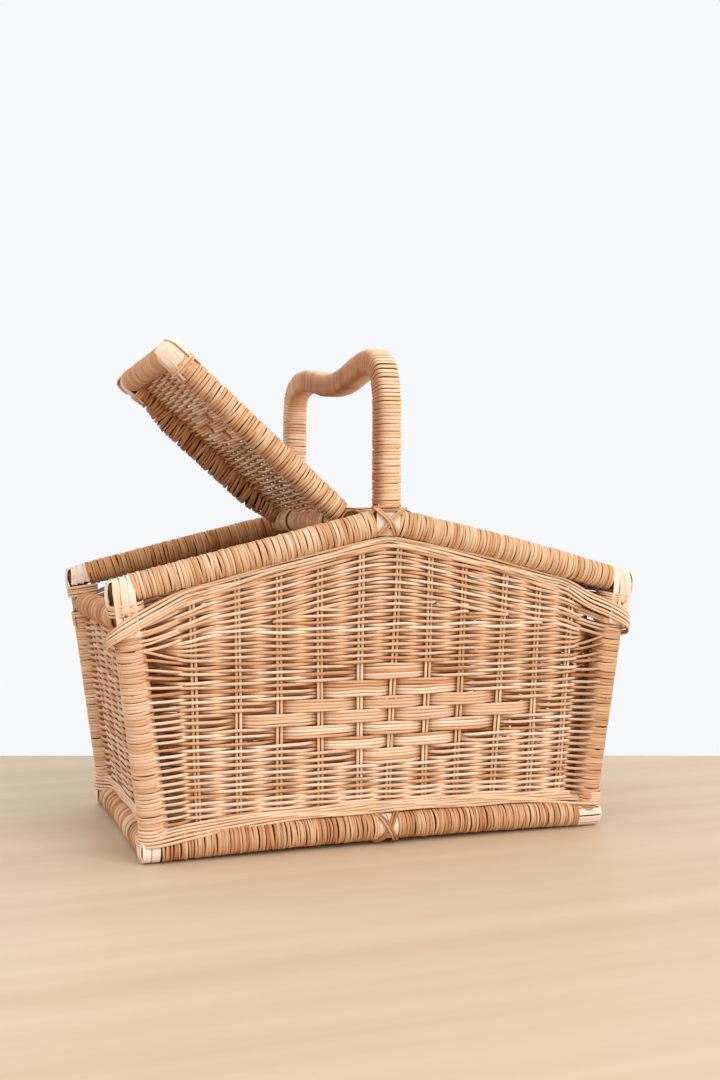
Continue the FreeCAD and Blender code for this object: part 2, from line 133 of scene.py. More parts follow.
# ---------------------------------------------------------------- mesh builder
class Kit:
    """Collects tubes as plain arrays and makes one mesh of them."""

    def __init__(self):
        self.v, self.q, self.c, self.a = [], [], [], []
        self.n = 0

    def tubes(self, P, rn, rb=None, ref=(0, 0, 1), sec=ROUND6, tone=0.5, dark=0.0,
              closed=False, caps=True, hue=None):
        P = np.asarray(P, float)
        if P.ndim == 2:
            P = P[None]
        S, N, _ = P.shape
        K = len(sec)
        if closed:
            T = np.roll(P, -1, 1) - np.roll(P, 1, 1)
        else:
            T = np.empty_like(P)
            T[:, 1:-1] = P[:, 2:] - P[:, :-2]
            T[:, 0], T[:, -1] = P[:, 1] - P[:, 0], P[:, -1] - P[:, -2]
        T = unit(T)
        ref = np.broadcast_to(np.asarray(ref, float), P.shape)
        B = unit(np.cross(T, ref))
        Nn = np.cross(B, T)
        rn = np.broadcast_to(np.asarray(rn, float), (S, N))
        rb = rn if rb is None else np.broadcast_to(np.asarray(rb, float), (S, N))
        V = (P[:, :, None] + rn[:, :, None, None] * sec[None, None, :, 0:1] * Nn[:, :, None]
             + rb[:, :, None, None] * sec[None, None, :, 1:2] * B[:, :, None])
        base = self.n
        idx = base + np.arange(S * N * K).reshape(S, N, K)
        nxt = np.roll(idx, -1, 2)
        if closed:
            up, upn = np.roll(idx, -1, 1), np.roll(nxt, -1, 1)
            Q = np.stack([idx, nxt, upn, up], -1).reshape(-1, 4)
        else:
            Q = np.stack([idx[:, :-1], nxt[:, :-1], nxt[:, 1:], idx[:, 1:]], -1).reshape(-1, 4)
            if caps:
                self.c.append(idx[:, 0, ::-1].reshape(-1, K))
                self.c.append(idx[:, -1, :].reshape(-1, K))
        self.v.append(V.reshape(-1, 3))
        self.q.append(Q)
        arc = np.concatenate([np.zeros((S, 1)),
                              np.cumsum(np.linalg.norm(np.diff(P, axis=1), axis=2), 1)], 1)
        tone = np.broadcast_to(np.asarray(tone, float).reshape(-1, 1) if np.ndim(tone) == 1
                               else np.asarray(tone, float), (S, N))
        dark = np.broadcast_to(np.asarray(dark, float), (S, N))
        hue = rng.uniform(0, 1, (S, 1)) if hue is None else np.asarray(hue, float).reshape(-1, 1)
        hue = np.broadcast_to(hue, (S, N))
        at = np.empty((S, N, K, 6), np.float32)
        at[..., 0] = tone[:, :, None]
        # dark carries the amount of painted shade; the material multiplies it into the colour
        at[..., 1] = dark[:, :, None]
        at[..., 2] = hue[:, :, None]
        at[..., 3] = arc[:, :, None]
        at[..., 4] = sec[None, None, :, 0]
        at[..., 5] = sec[None, None, :, 1]
        self.a.append(at.reshape(-1, 6))
        self.n += S * N * K
        return self

    def make(self, name, material, body, slot, replaces=(), smooth_shade=True):
        V = np.concatenate(self.v) * MM
        A = np.concatenate(self.a)
        Q = np.concatenate(self.q)
        loops = [Q.reshape(-1)]
        starts = [np.arange(len(Q)) * 4]
        off = len(Q) * 4
        for c in self.c:
            k = c.shape[1]
            loops.append(c.reshape(-1))
            starts.append(off + np.arange(len(c)) * k)
            off += len(c) * k
        loops = np.concatenate(loops).astype(np.int32)
        starts = np.concatenate(starts).astype(np.int32)
        me = bpy.data.meshes.new(name)
        me.vertices.add(len(V))
        me.vertices.foreach_set("co", V.astype(np.float32).ravel())
        me.loops.add(len(loops))
        me.loops.foreach_set("vertex_index", loops)
        me.polygons.add(len(starts))
        me.polygons.foreach_set("loop_start", starts)
        me.update(calc_edges=True)
        me.polygons.foreach_set("use_smooth", np.full(len(starts), smooth_shade))
        for i, key in enumerate(("tone", "dark", "hue")):
            at = me.attributes.new(key, "FLOAT", "POINT")
            at.data.foreach_set("value", np.ascontiguousarray(A[:, i]))
        at = me.attributes.new("fib", "FLOAT_VECTOR", "POINT")
        at.data.foreach_set("vector", np.ascontiguousarray(A[:, 3:6]).ravel())
        me.materials.append(material)
        ob = bpy.data.objects.new(name, me)
        bpy.context.scene.collection.objects.link(ob)
        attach(ob, body)
        if replaces:
            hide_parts(*replaces)
        tris = len(Q) * 2 + sum(len(c) * (c.shape[1] - 2) for c in self.c)
        COUNTS[name] = int(tris)
        return ob


COUNTS = {}


# ---------------------------------------------------------------- materials
def lin(h):
    c = [int(h[i:i + 2], 16) / 255 for i in (1, 3, 5)]
    return tuple(((x + 0.055) / 1.055) ** 2.4 if x > 0.04045 else x / 12.92 for x in c) + (1.0,)


def mix_rgb(nt, fac, a, b, blend="MIX"):
    n = nt.nodes.new("ShaderNodeMix")
    n.data_type = "RGBA"
    n.blend_type = blend
    n.clamp_factor = True
    for sock, val in ((n.inputs[0], fac), (n.inputs[6], a), (n.inputs[7], b)):
        if isinstance(val, bpy.types.NodeSocket):
            nt.links.new(val, sock)
        else:
            sock.default_value = val
    return n.outputs[2]


def math_node(nt, op, a, b=None, clamp=False):
    n = nt.nodes.new("ShaderNodeMath")
    n.operation = op
    n.use_clamp = clamp
    for sock, val in ((n.inputs[0], a), (n.inputs[1], b)):
        if val is None:
            continue
        if isinstance(val, bpy.types.NodeSocket):
            nt.links.new(val, sock)
        else:
            sock.default_value = val
    return n.outputs[0]


def attr(nt, name):
    n = nt.nodes.new("ShaderNodeAttribute")
    n.attribute_name = name
    return n


def noise_on(nt, vec, scale3, detail=3.0, rough=0.55):
    m = nt.nodes.new("ShaderNodeMapping")
    m.inputs["Scale"].default_value = scale3
    nt.links.new(vec, m.inputs["Vector"])
    n = nt.nodes.new("ShaderNodeTexNoise")
    n.inputs["Scale"].default_value = 1.0
    n.inputs["Detail"].default_value = detail
    n.inputs["Roughness"].default_value = rough
    nt.links.new(m.outputs[0], n.inputs["Vector"])
    return n.outputs["Fac"]


def cane(name, ramp, inner_shade_colour="#C4A078", rough=(0.42, 0.66), bump=0.25, streak=0.35, knots=0.5,
         crease_shade=0.8, crease_shade_colour="#A8622C", inner_shade=0.9, shade="#B07A40", two_sided=False, start=0.62):
    """Split rattan: colour by strand, long streaks and fine fibres along it, brown scars, and painted shade down the
    strand sides, on the side facing inwards and from the dark attribute.
    """
    m = bpy.data.materials.new(name)
    m.use_nodes = True
    nt = m.node_tree
    nt.nodes.clear()
    out = nt.nodes.new("ShaderNodeOutputMaterial")
    p = nt.nodes.new("ShaderNodeBsdfPrincipled")
    nt.links.new(p.outputs[0], out.inputs["Surface"])
    tone, dark, hue = (attr(nt, k).outputs["Fac"] for k in ("tone", "dark", "hue"))
    fib = attr(nt, "fib").outputs["Vector"]
    comb = nt.nodes.new("ShaderNodeCombineXYZ")
    for i, k in enumerate((911.0, 37.0, 53.0)):
        nt.links.new(math_node(nt, "MULTIPLY", hue, k), comb.inputs[i])
    add = nt.nodes.new("ShaderNodeVectorMath")
    add.operation = "ADD"
    nt.links.new(fib, add.inputs[0])
    nt.links.new(comb.outputs[0], add.inputs[1])
    vec = add.outputs[0]
    long_n = noise_on(nt, vec, (0.035, 0.9, 0.9), 4.0)
    fine_n = noise_on(nt, vec, (0.10, 4.5, 4.5), 3.0, 0.6)
    t = math_node(nt, "ADD", tone,
                  math_node(nt, "MULTIPLY", math_node(nt, "SUBTRACT", long_n, 0.5), 2 * streak))
    t = math_node(nt, "ADD", t,
                  math_node(nt, "MULTIPLY", math_node(nt, "SUBTRACT", fine_n, 0.5), 0.5), clamp=True)
    r = nt.nodes.new("ShaderNodeValToRGB")
    el = r.color_ramp.elements
    el[0].position, el[0].color = 0.0, lin(ramp[0])
    el[1].position, el[1].color = 1.0, lin(ramp[-1])
    for i, c in enumerate(ramp[1:-1]):
        e = el.new((i + 1) / (len(ramp) - 1))
        e.color = lin(c)
    nt.links.new(t, r.inputs[0])
    # brown scars where leaf nodes were
    spot = noise_on(nt, vec, (0.23, 1.1, 1.1), 2.0)
    sr = nt.nodes.new("ShaderNodeMapRange")
    sr.inputs["From Min"].default_value, sr.inputs["From Max"].default_value = 0.66, 0.78
    sr.inputs["To Max"].default_value = knots
    nt.links.new(spot, sr.inputs["Value"])
    col = mix_rgb(nt, sr.outputs[0], r.outputs[0], lin("#8A4A1E"), "MIX")
    # painted shade: darker down the sides of each strand, where strands meet, and on the side facing inwards
    sep = nt.nodes.new("ShaderNodeSeparateXYZ")
    nt.links.new(fib, sep.inputs[0])
    facing = math_node(nt, "ABSOLUTE", sep.outputs[1]) if two_sided else sep.outputs[1]
    # the flat of the strand that looks into the basket gets less of the painted shade and keeps most of its own
    # colour
    back = nt.nodes.new("ShaderNodeMapRange")
    back.interpolation_type = "SMOOTHSTEP"
    back.inputs["From Min"].default_value, back.inputs["From Max"].default_value = -0.25, -0.8
    back.inputs["To Min"].default_value, back.inputs["To Max"].default_value = 1.0, 0.3
    nt.links.new(sep.outputs[1], back.inputs["Value"])
    for lo_, hi_, amount, colour, how in ((start, 0.15 if two_sided else -0.25, crease_shade, crease_shade_colour, "MIX"),
                                          (0.05, -0.75, inner_shade, inner_shade_colour, "MULTIPLY")):
        er = nt.nodes.new("ShaderNodeMapRange")
        er.interpolation_type = "SMOOTHSTEP"
        er.inputs["From Min"].default_value, er.inputs["From Max"].default_value = lo_, hi_
        er.inputs["To Max"].default_value = amount
        nt.links.new(facing, er.inputs["Value"])
        fac = er.outputs[0] if two_sided else math_node(nt, "MULTIPLY", er.outputs[0], back.outputs[0])
        col = mix_rgb(nt, fac, col, lin(colour), how)
    # painted shade from the dark attribute, multiplied towards the shade colour
    if not two_sided:
        dark = math_node(nt, "MULTIPLY", dark, back.outputs[0])
    col = mix_rgb(nt, dark, col, lin(shade), "MULTIPLY")
    nt.links.new(col, p.inputs["Base Color"])
    rr = nt.nodes.new("ShaderNodeMapRange")
    rr.inputs["To Min"].default_value, rr.inputs["To Max"].default_value = rough
    nt.links.new(fine_n, rr.inputs["Value"])
    nt.links.new(rr.outputs[0], p.inputs["Roughness"])
    p.inputs["Specular IOR Level"].default_value = 0.22
    b = nt.nodes.new("ShaderNodeBump")
    b.inputs["Strength"].default_value = bump
    b.inputs["Distance"].default_value = 0.0003
    nt.links.new(fine_n, b.inputs["Height"])
    nt.links.new(b.outputs[0], p.inputs["Normal"])
    return m


# painted shade: each cane turns towards its crease colour down the sides of a strand and towards its inner colour on
# the side facing into the basket
M_WEAVE = cane("weaver_cane", ["#AE6E40", "#CE966A", "#DFB490", "#EACBAE", "#F2DCC6"],
               crease_shade=0.85, knots=0.35, crease_shade_colour="#8A4A20", start=0.7)
M_BORDER = cane("border_cane", ["#B67A4E", "#D29C70", "#E2BA94", "#EACBAC", "#F0D9C0"],
                crease_shade=0.75, knots=0.3, two_sided=True, crease_shade_colour="#7A4420")
M_LIDWEAVE = cane("lid_weaver_cane", ["#A46434", "#C68A54", "#DEA878", "#EEC6A0", "#F6DABC"],
                  crease_shade_colour="#33170A", crease_shade=0.97, two_sided=True, start=0.85)
M_STAKE = cane("stake_cane", ["#B07448", "#D09F74", "#E6C3A0", "#F3DCC4"], streak=0.25)
M_WRAP = cane("wrap_cane", ["#864A26", "#B2764A", "#CF9C72", "#E0BC98", "#F0D8C0"], streak=0.35,
              crease_shade=0.9, crease_shade_colour="#6A3616", start=0.4)
M_POST = cane("post_cane", ["#B68056", "#D0A07A", "#E0BC9C", "#EED4BE"], streak=0.35, bump=0.15,
              crease_shade=0.75, crease_shade_colour="#9A5A2E", start=0.5)
M_GRIP = cane("grip_cane", ["#AC6E3E", "#D09C6E", "#E6C09A", "#F2D8BC"], streak=0.3, rough=(0.36, 0.56),
              crease_shade=0.75, crease_shade_colour="#9A5E30", start=0.3)
# a darker copy of the cane: on the back gable wrap it is painted shade; the ridge wrap and the handle core use it
# too
M_BROWN = cane("shaded_cane", ["#8A5026", "#B47840", "#D09A66", "#E4BC92"], streak=0.3,
               crease_shade=0.9, crease_shade_colour="#4E260F", start=0.45)
M_SPLINT = cane("splint", ["#C89C7C", "#DCBCA0", "#EAD2BC", "#F2E0D0"], streak=0.25, knots=0.2,
                bump=0.2, rough=(0.5, 0.7), crease_shade=0.45, crease_shade_colour="#B07C50", inner_shade=0.5)
M_POLE = cane("pole", ["#3C2010", "#54301A", "#6E4224", "#8A5A34"], streak=0.4, rough=(0.6, 0.85),
              crease_shade=0.0, inner_shade=0.0)

M_BARE = cane("bare_pole", ["#7E502C", "#A07044", "#BC8C60", "#D0A680"], streak=0.4, rough=(0.5, 0.75),
              crease_shade=0.0, inner_shade=0.0)


def nail_material():
    m = bpy.data.materials.new("nail_head")
    m.use_nodes = True
    nt = m.node_tree
    p = nt.nodes["Principled BSDF"]
    p.inputs["Metallic"].default_value = 1.0
    tc = nt.nodes.new("ShaderNodeTexCoord")
    n = nt.nodes.new("ShaderNodeTexNoise")
    n.inputs["Scale"].default_value = 900.0
    nt.links.new(tc.outputs["Object"], n.inputs["Vector"])
    r = nt.nodes.new("ShaderNodeValToRGB")
    r.color_ramp.elements[0].color = lin("#5C4A3C")
    r.color_ramp.elements[1].color = lin("#B4A79A")
    nt.links.new(n.outputs["Fac"], r.inputs[0])
    nt.links.new(r.outputs[0], p.inputs["Base Color"])
    mr = nt.nodes.new("ShaderNodeMapRange")
    mr.inputs["To Min"].default_value, mr.inputs["To Max"].default_value = 0.3, 0.6
    nt.links.new(n.outputs["Fac"], mr.inputs["Value"])
    nt.links.new(mr.outputs[0], p.inputs["Roughness"])
    return m


M_NAIL = nail_material()


# ---------------------------------------------------------------- rails and wraps
def rail(points):
    """A rail's centreline: returns f(s mm) -> (position, tangent) and the length."""
    p = np.asarray(points, float)
    d = np.concatenate([[0], np.cumsum(np.linalg.norm(np.diff(p, axis=0), axis=1))])

    def f(s):
        s = np.asarray(s, float)
        c = np.stack([np.interp(s, d, p[:, i]) for i in range(3)], -1)
        a = np.stack([np.interp(np.clip(s - 2, 0, d[-1]), d, p[:, i]) for i in range(3)], -1)
        b = np.stack([np.interp(np.clip(s + 2, 0, d[-1]), d, p[:, i]) for i in range(3)], -1)
        return c, unit(b - a)
    return f, d[-1], p


def ring_frame(T, ref):
    e1 = unit(np.cross(np.broadcast_to(np.asarray(ref, float), T.shape), T))
    return e1, np.cross(T, e1)


def wrap(kit, f, s0, s1, pitch, R, rn=0.95, rb=None, ref=(0, 0, 1), slant=0.6, seg=22,
         tone=(0.25, 0.85), dark=0.0, shape=2.0, jit=0.12, gap=0.06, sec=FLAT8, skip=None,
         bulge=0.25, drift=0.15, seed=1, shade=None):
    """Turns of cane round a rail, one closed ring a turn."""
    r = np.random.default_rng(seed)
    widths = pitch * r.uniform(1 - 1.2 * jit, 1 + 1.2 * jit, int((s1 - s0) / pitch * 1.3) + 4)
    cuts = s0 + np.concatenate([[0], np.cumsum(widths)])
    mid, w = (cuts[:-1] + cuts[1:]) / 2, widths
    ok = cuts[1:] <= s1 + pitch * 0.4
    if skip is not None:
        ok &= ~((mid > skip[0]) & (mid < skip[1]))
    mid, w = mid[ok], w[ok]
    n = len(mid)
    C, T = f(mid)
    e1, e2 = ring_frame(T, ref)
    th = np.linspace(0, 2 * np.pi, seg, endpoint=False)
    c, s = np.cos(th), np.sin(th)
    e = 2.0 / shape
    c2, s2 = np.sign(c) * np.abs(c) ** e, np.sign(s) * np.abs(s) ** e
    Rn = (R(mid) if callable(R) else R) + r.uniform(-bulge, bulge, n)
    rad = c2[None, :, None] * e1[:, None] + s2[None, :, None] * e2[:, None]
    ph = r.uniform(0, 2 * np.pi, n) * 0.12
    tilt = slant + r.normal(0, drift, n)
    P = (C[:, None] + Rn[:, None, None] * rad
         + T[:, None] * (tilt[:, None] * np.sin(th[None] + ph[:, None]))[..., None]
         + T[:, None] * (0.18 * r.normal(0, 1, (n, 1)) * np.sin(2 * th[None] + 7 * ph[:, None]))[..., None])
    walk = np.convolve(r.uniform(0, 1, n + 8), np.ones(4) / 4, "same")[:n]
    t = tone[0] + (tone[1] - tone[0]) * (0.55 * walk + 0.45 * r.uniform(0, 1, n))
    half = w * (0.5 - gap * r.uniform(0, 1.6, n))
    # painted shade: turns darker on the side that faces the given direction
    if shade is not None:
        much = shade[1](mid)[:, None] if callable(shade[1]) else shade[1]
        dark = dark + much * smooth(rad @ np.asarray(shade[0], float))
    kit.tubes(P, rn * np.ones((n, 1)), (half[:, None] if rb is None else rb), ref=rad, sec=sec,
              tone=t, dark=dark, closed=True)
    return n


def core(kit, points, r, ref=(0, 0, 1), sec=section(14), tone=0.5, dark=0.0):
    kit.tubes(np.asarray(points, float), r, ref=ref, sec=sec, tone=tone, dark=dark)


def gable_points(sy, x0=-204.2, x1=204.2, bow=(0.0, 2.4)):
    x = np.linspace(x0, x1, 83)
    z = gable_z(x)
    z = z + np.where(x > 0, bow[1], bow[0]) * np.sin(np.pi * np.clip(np.abs(x) / 204, 0, 1)) ** 1.0
    return np.stack([x, np.full_like(x, sy * GABLE_Y), z], 1)


def base_points(sy, arch=3.0):
    x = np.linspace(-181.7, 181.7, 41)
    z = 10.1 + arch * np.cos(np.pi * x / 363.4) ** 0.8
    return np.stack([x, np.full_like(x, sy * BASE_Y), z], 1)


# gable rails
for tag, sy in (("front", -1), ("back", 1)):
    pts = gable_points(sy, bow=(0.0, 2.4) if sy < 0 else (0.4, 1.2))
    f, L, _ = rail(pts)
    k = Kit()
    core(k, pts, 8.0, ref=(0, 1, 0))
    k.make("gable_rail_%s_pole" % tag, M_POLE, "basket", "pole", ["gable_rail_" + tag])
    k = Kit()
    mid = L / 2
    skip = (mid - 9.3, mid + 6.8) if sy < 0 else (mid - 8, mid + 8)
    wrap(k, f, 17.0, L - 17.0, 2.25, 8.95, rn=1.05, ref=(0, 1, 0), slant=0.9, seed=11 + sy,
         tone=(0.35, 0.95), gap=0.01, skip=skip, jit=0.2, drift=0.3, bulge=0.35)
    # the back gable wrap takes the darker cane: painted shade
    k.make("gable_wrap_" + tag, M_WRAP if sy < 0 else M_BROWN, "basket", "wrap_cane",
           ["gable_rail_wraps"] if sy < 0 else [])

# base rails
for tag, sy in (("front", -1), ("back", 1)):
    pts = base_points(sy)
    f, L, _ = rail(pts)
    k = Kit()
    core(k, pts, 8.0, ref=(0, 1, 0))
    k.make("base_rail_%s_pole" % tag, M_POLE, "basket", "pole", ["base_rail_" + tag])
    k = Kit()
    mid = L / 2
    skip = (mid - 5, mid + 10) if sy < 0 else (mid - 7.5, mid + 7.5)
    wrap(k, f, 14.5, L - 19.0, 2.2, 8.95, rn=1.05, ref=(0, 1, 0), slant=0.5, seed=21 + sy,
         tone=(0.15, 0.8), gap=0.06, jit=0.25, skip=skip, drift=0.4)
    k.make("base_wrap_" + tag, M_WRAP, "basket", "wrap_cane",
           ["base_rail_wraps"] if sy < 0 else [])
for tag, sx in (("left", -1), ("right", 1)):
    y = np.linspace(-92.3, 92.3, 25)
    pts = np.stack([np.full_like(y, sx * BASE_X), y, np.full_like(y, 10.1)], 1)
    f, L, _ = rail(pts)
    k = Kit()
    core(k, pts, 8.0, ref=(1, 0, 0))
    k.make("base_rail_%s_pole" % tag, M_POLE, "basket", "pole", ["base_rail_" + tag])
    k = Kit()
    wrap(k, f, 0.5, L - 0.5, 6.6, 9.0, rn=1.0, ref=(1, 0, 0), slant=1.0, seed=31 + sx,
         tone=(0.1, 1.0), gap=0.09, jit=0.35, drift=0.8, bulge=0.5)
    k.make("base_wrap_" + tag, M_WRAP, "basket", "wrap_cane", [])
k = Kit()
core(k, [(0, -92.3, 7.4), (0, -40, 7.2), (0, 40, 7.2), (0, 92.3, 7.4)], 6.0, ref=(1, 0, 0), tone=0.9)
k.make("base_cross_pole", M_POLE, "basket", "pole", ["base_cross_rail"])

# end rails
for tag, sx in (("left", -1), ("right", 1)):
    y = np.linspace(-95, 95, 25)
    drop = (2.3 + 0.8 * y / 95) if sx < 0 else 0 * y
    pts = np.stack([np.full_like(y, sx * END_RAIL_X), y, END_RAIL_Z - drop], 1)
    f, L, _ = rail(pts)
    k = Kit()
    core(k, pts, 8.0, ref=(1, 0, 0))
    k.make("end_rail_%s_pole" % tag, M_BARE, "basket", "pole", ["end_rail_" + tag])
    k = Kit()
    wrap(k, f, 0.5, L - 0.5, 4.4, 9.0, rn=0.95, ref=(1, 0, 0), slant=1.4, seed=41 + sx,
         tone=(0.0, 0.7), gap=0.05, jit=0.35, drift=0.9)
    k.make("end_wrap_" + tag, M_WRAP, "basket", "wrap_cane",
           ["end_rail_wraps"] if sx < 0 else [])

# ridge rail
y = np.linspace(-99.9, 99.9, 25)
pts = np.stack([np.zeros_like(y), y, np.full_like(y, HINGE_Z)], 1)
f, L, _ = rail(pts)
k = Kit()
core(k, pts, 6.5, ref=(1, 0, 0))
k.make("ridge_pole", M_POLE, "basket", "pole", ["ridge_rail"])
k = Kit()
wrap(k, f, 0.5, L - 0.5, 2.6, 7.9, rn=1.05, ref=(1, 0, 0), slant=0.5, seed=51, tone=(0.2, 0.8))
k.make("ridge_wrap", M_BROWN, "basket", "wrap_cane", ["ridge_rail_wrap"])

# ---------------------------------------------------------------- corner posts
SHIFT = (1.4, 1.0)
for ty, sy in (("front", -1), ("back", 1)):
    for tx, sx in (("left", -1), ("right", 1)):
        z = np.linspace(19.5, 184.0, 12)
        px, py = post_xy(z)
        pts = np.stack([sx * px, sy * py, z], 1)
        k = Kit()
        core(k, pts, 8.6, ref=(1, 0, 0))
        k.make("post_%s_%s_pole" % (ty, tx), M_BARE, "basket", "pole",
               ["corner_post_%s_%s" % (ty, tx)])
k = Kit()
for sy in (-1, 1):
    for sx in (-1, 1):
        z = np.linspace(12, 186.0, 30)
        px, py = post_xy(z)
        pts = np.stack([sx * (px + SHIFT[0]), sy * (py + SHIFT[1]), z], 1)
        f, L, _ = rail(pts)
        wrap(k, f, 2.0, 153.0, PITCH, 9.9, rn=0.8, ref=(0, 1, 0), slant=0.25, seg=26,
             seed=61 + 2 * sy + sx, tone=(0.2, 0.9) if sx < 0 else (0.0, 0.65), gap=0.0, jit=0.12, bulge=0.12, drift=0.25)
k.make("post_wraps", M_POST, "basket", "weaver_cane", ["corner_post_wraps"])

# ---------------------------------------------------------------- front and back panels
STAKE_XB = np.array([-140, -109.4, -79.4, -48, -17.8, 5.3, 34.4, 60.8, 92, 122.8, 148.3])
STAKE_XT = np.array([-145.6, -112.2, -81.4, -50.6, -18.3, 11.4, 37.2, 65, 99.7, 128.3, 156.7])
STAKE_ZT = np.array([187, 182, 212, 212, 215, 215, 215, 205, 205, 200, 185.0])


def stake_x(i, z):
    """x of stake i (-5..5) at height z; the posts count as stakes -6 and 6."""
    z = np.asarray(z, float)
    if abs(i) == 6:
        return math.copysign(1, i) * post_xy(z)[0]
    k = i + 5
    return STAKE_XB[k] + (STAKE_XT[k] - STAKE_XB[k]) * (z - 40) / (STAKE_ZT[k] - 40)


def rail_low(x):
    return gable_z(x) - 10.3 + np.where(np.asarray(x) > 0, 2.4, 0.0) * np.sin(
        np.pi * np.clip(np.abs(x) / 204, 0, 1))


S_STEP = 8
S = np.linspace(-6, 6, 12 * S_STEP + 1)
XS0 = np.array([float(stake_x(i, 120.0)) for i in range(-6, 7)])
XS = np.interp(S, np.arange(-6, 7), XS0)          # nominal x of every sample
NL, NW, NU = 49, 16, 16
BUNDLES = [(14, 19, 1), (19, 23, 2), (23, 27, 3), (27, 31, 4), (31, 35, 3), (35, 40, 2), (40, 44, 1)]


def upper_z(u):
    a = 6 + 1.5 * u
    x = np.sqrt(XS ** 2 + a * a)
    top = SHARP - x * math.tan(SLOPE) - 10.3 - 3.6
    top = top + np.where(XS > 0, 2.0, 0.0) * np.sin(np.pi * np.clip(np.abs(XS) / 204, 0, 1))
    sa = np.abs(S)
    at_post = 175.0
    w = smooth((sa - 4.6) / 1.4)
    top = top * (1 - w) + (at_post + (6 - sa) * 8) * w
    pitch = np.interp(sa, [0, 3, 4, 5, 6], [2.4, 2.4, 2.2, 1.95, 1.55])
    return top - u * pitch


def row_levels(fill=False):
    """z at every sample for lower, short and upper rows, and which samples exist."""
    rows = []
    for r in range(NL):
        z = 27.0 + PITCH * r + 4.5 * math.exp(-r / 5.0) * (1 - (S / 6) ** 2)
        z = z + smooth(np.abs(S) - 5) * max(0, r - (NL - 10)) * 0.8
        rows.append((r, z, 6.0))
    lo = rows[-1][1] + PITCH / 2
    hi = upper_z(NU - 1) - PITCH / 2
    need = (hi - lo) / 2.42
    mid_ = 6 * S_STEP
    reach = {}
    for side in (-1, 1):
        reach[side] = [int(round(max(0.0, need[mid_ + side * int((j - 0.55) * S_STEP)]))) for j in range(1, 6)]
    nw = min(reach[-1][0], reach[1][0])
    knots = np.arange(-6, 7)
    level = {j * side: reach[side][j - 1] for side in (-1, 1) for j in range(1, 6)}
    half_s = [-5.5, -4.5, -3.5, -2.5, -1.5, -0.5, 0.5, 1.5, 2.5, 3.5, 4.5, 5.5]
    half_n = [level[-5], level[-5], level[-4], level[-3], level[-2], nw, nw, level[2], level[3],
              level[4], level[5], level[5]]
    count = np.maximum(np.interp(S, half_s, half_n), 1)
    for k_ in range(nw):
        z = lo + (k_ + 0.5) / count * (hi - lo)
        el = max([j for j in range(1, 6) if reach[-1][j - 1] > k_] or [1])
        er = max([j for j in range(1, 6) if reach[1][j - 1] > k_] or [1])
        if fill or k_ % 2 == 0:
            el, er = el + 0.62 * (el == 5), er + 0.62 * (er == 5)
        rows.append((NL + k_, z, (el, er)))
    for u in range(NU - 1, -1, -1):
        rows.append((NL + nw + (NU - 1 - u), upper_z(u), 6.0))
    return rows


def row_sign(r, i):
    """+1 when row r passes outside stake i."""
    for a, b, m in BUNDLES:
        if a <= r < b and abs(i) <= m:
            return 1.0 if (m - i) % 2 else -1.0
    return 1.0 if (r + i) % 2 == 0 else -1.0


AMP = 2.2
OVAL = 1.13


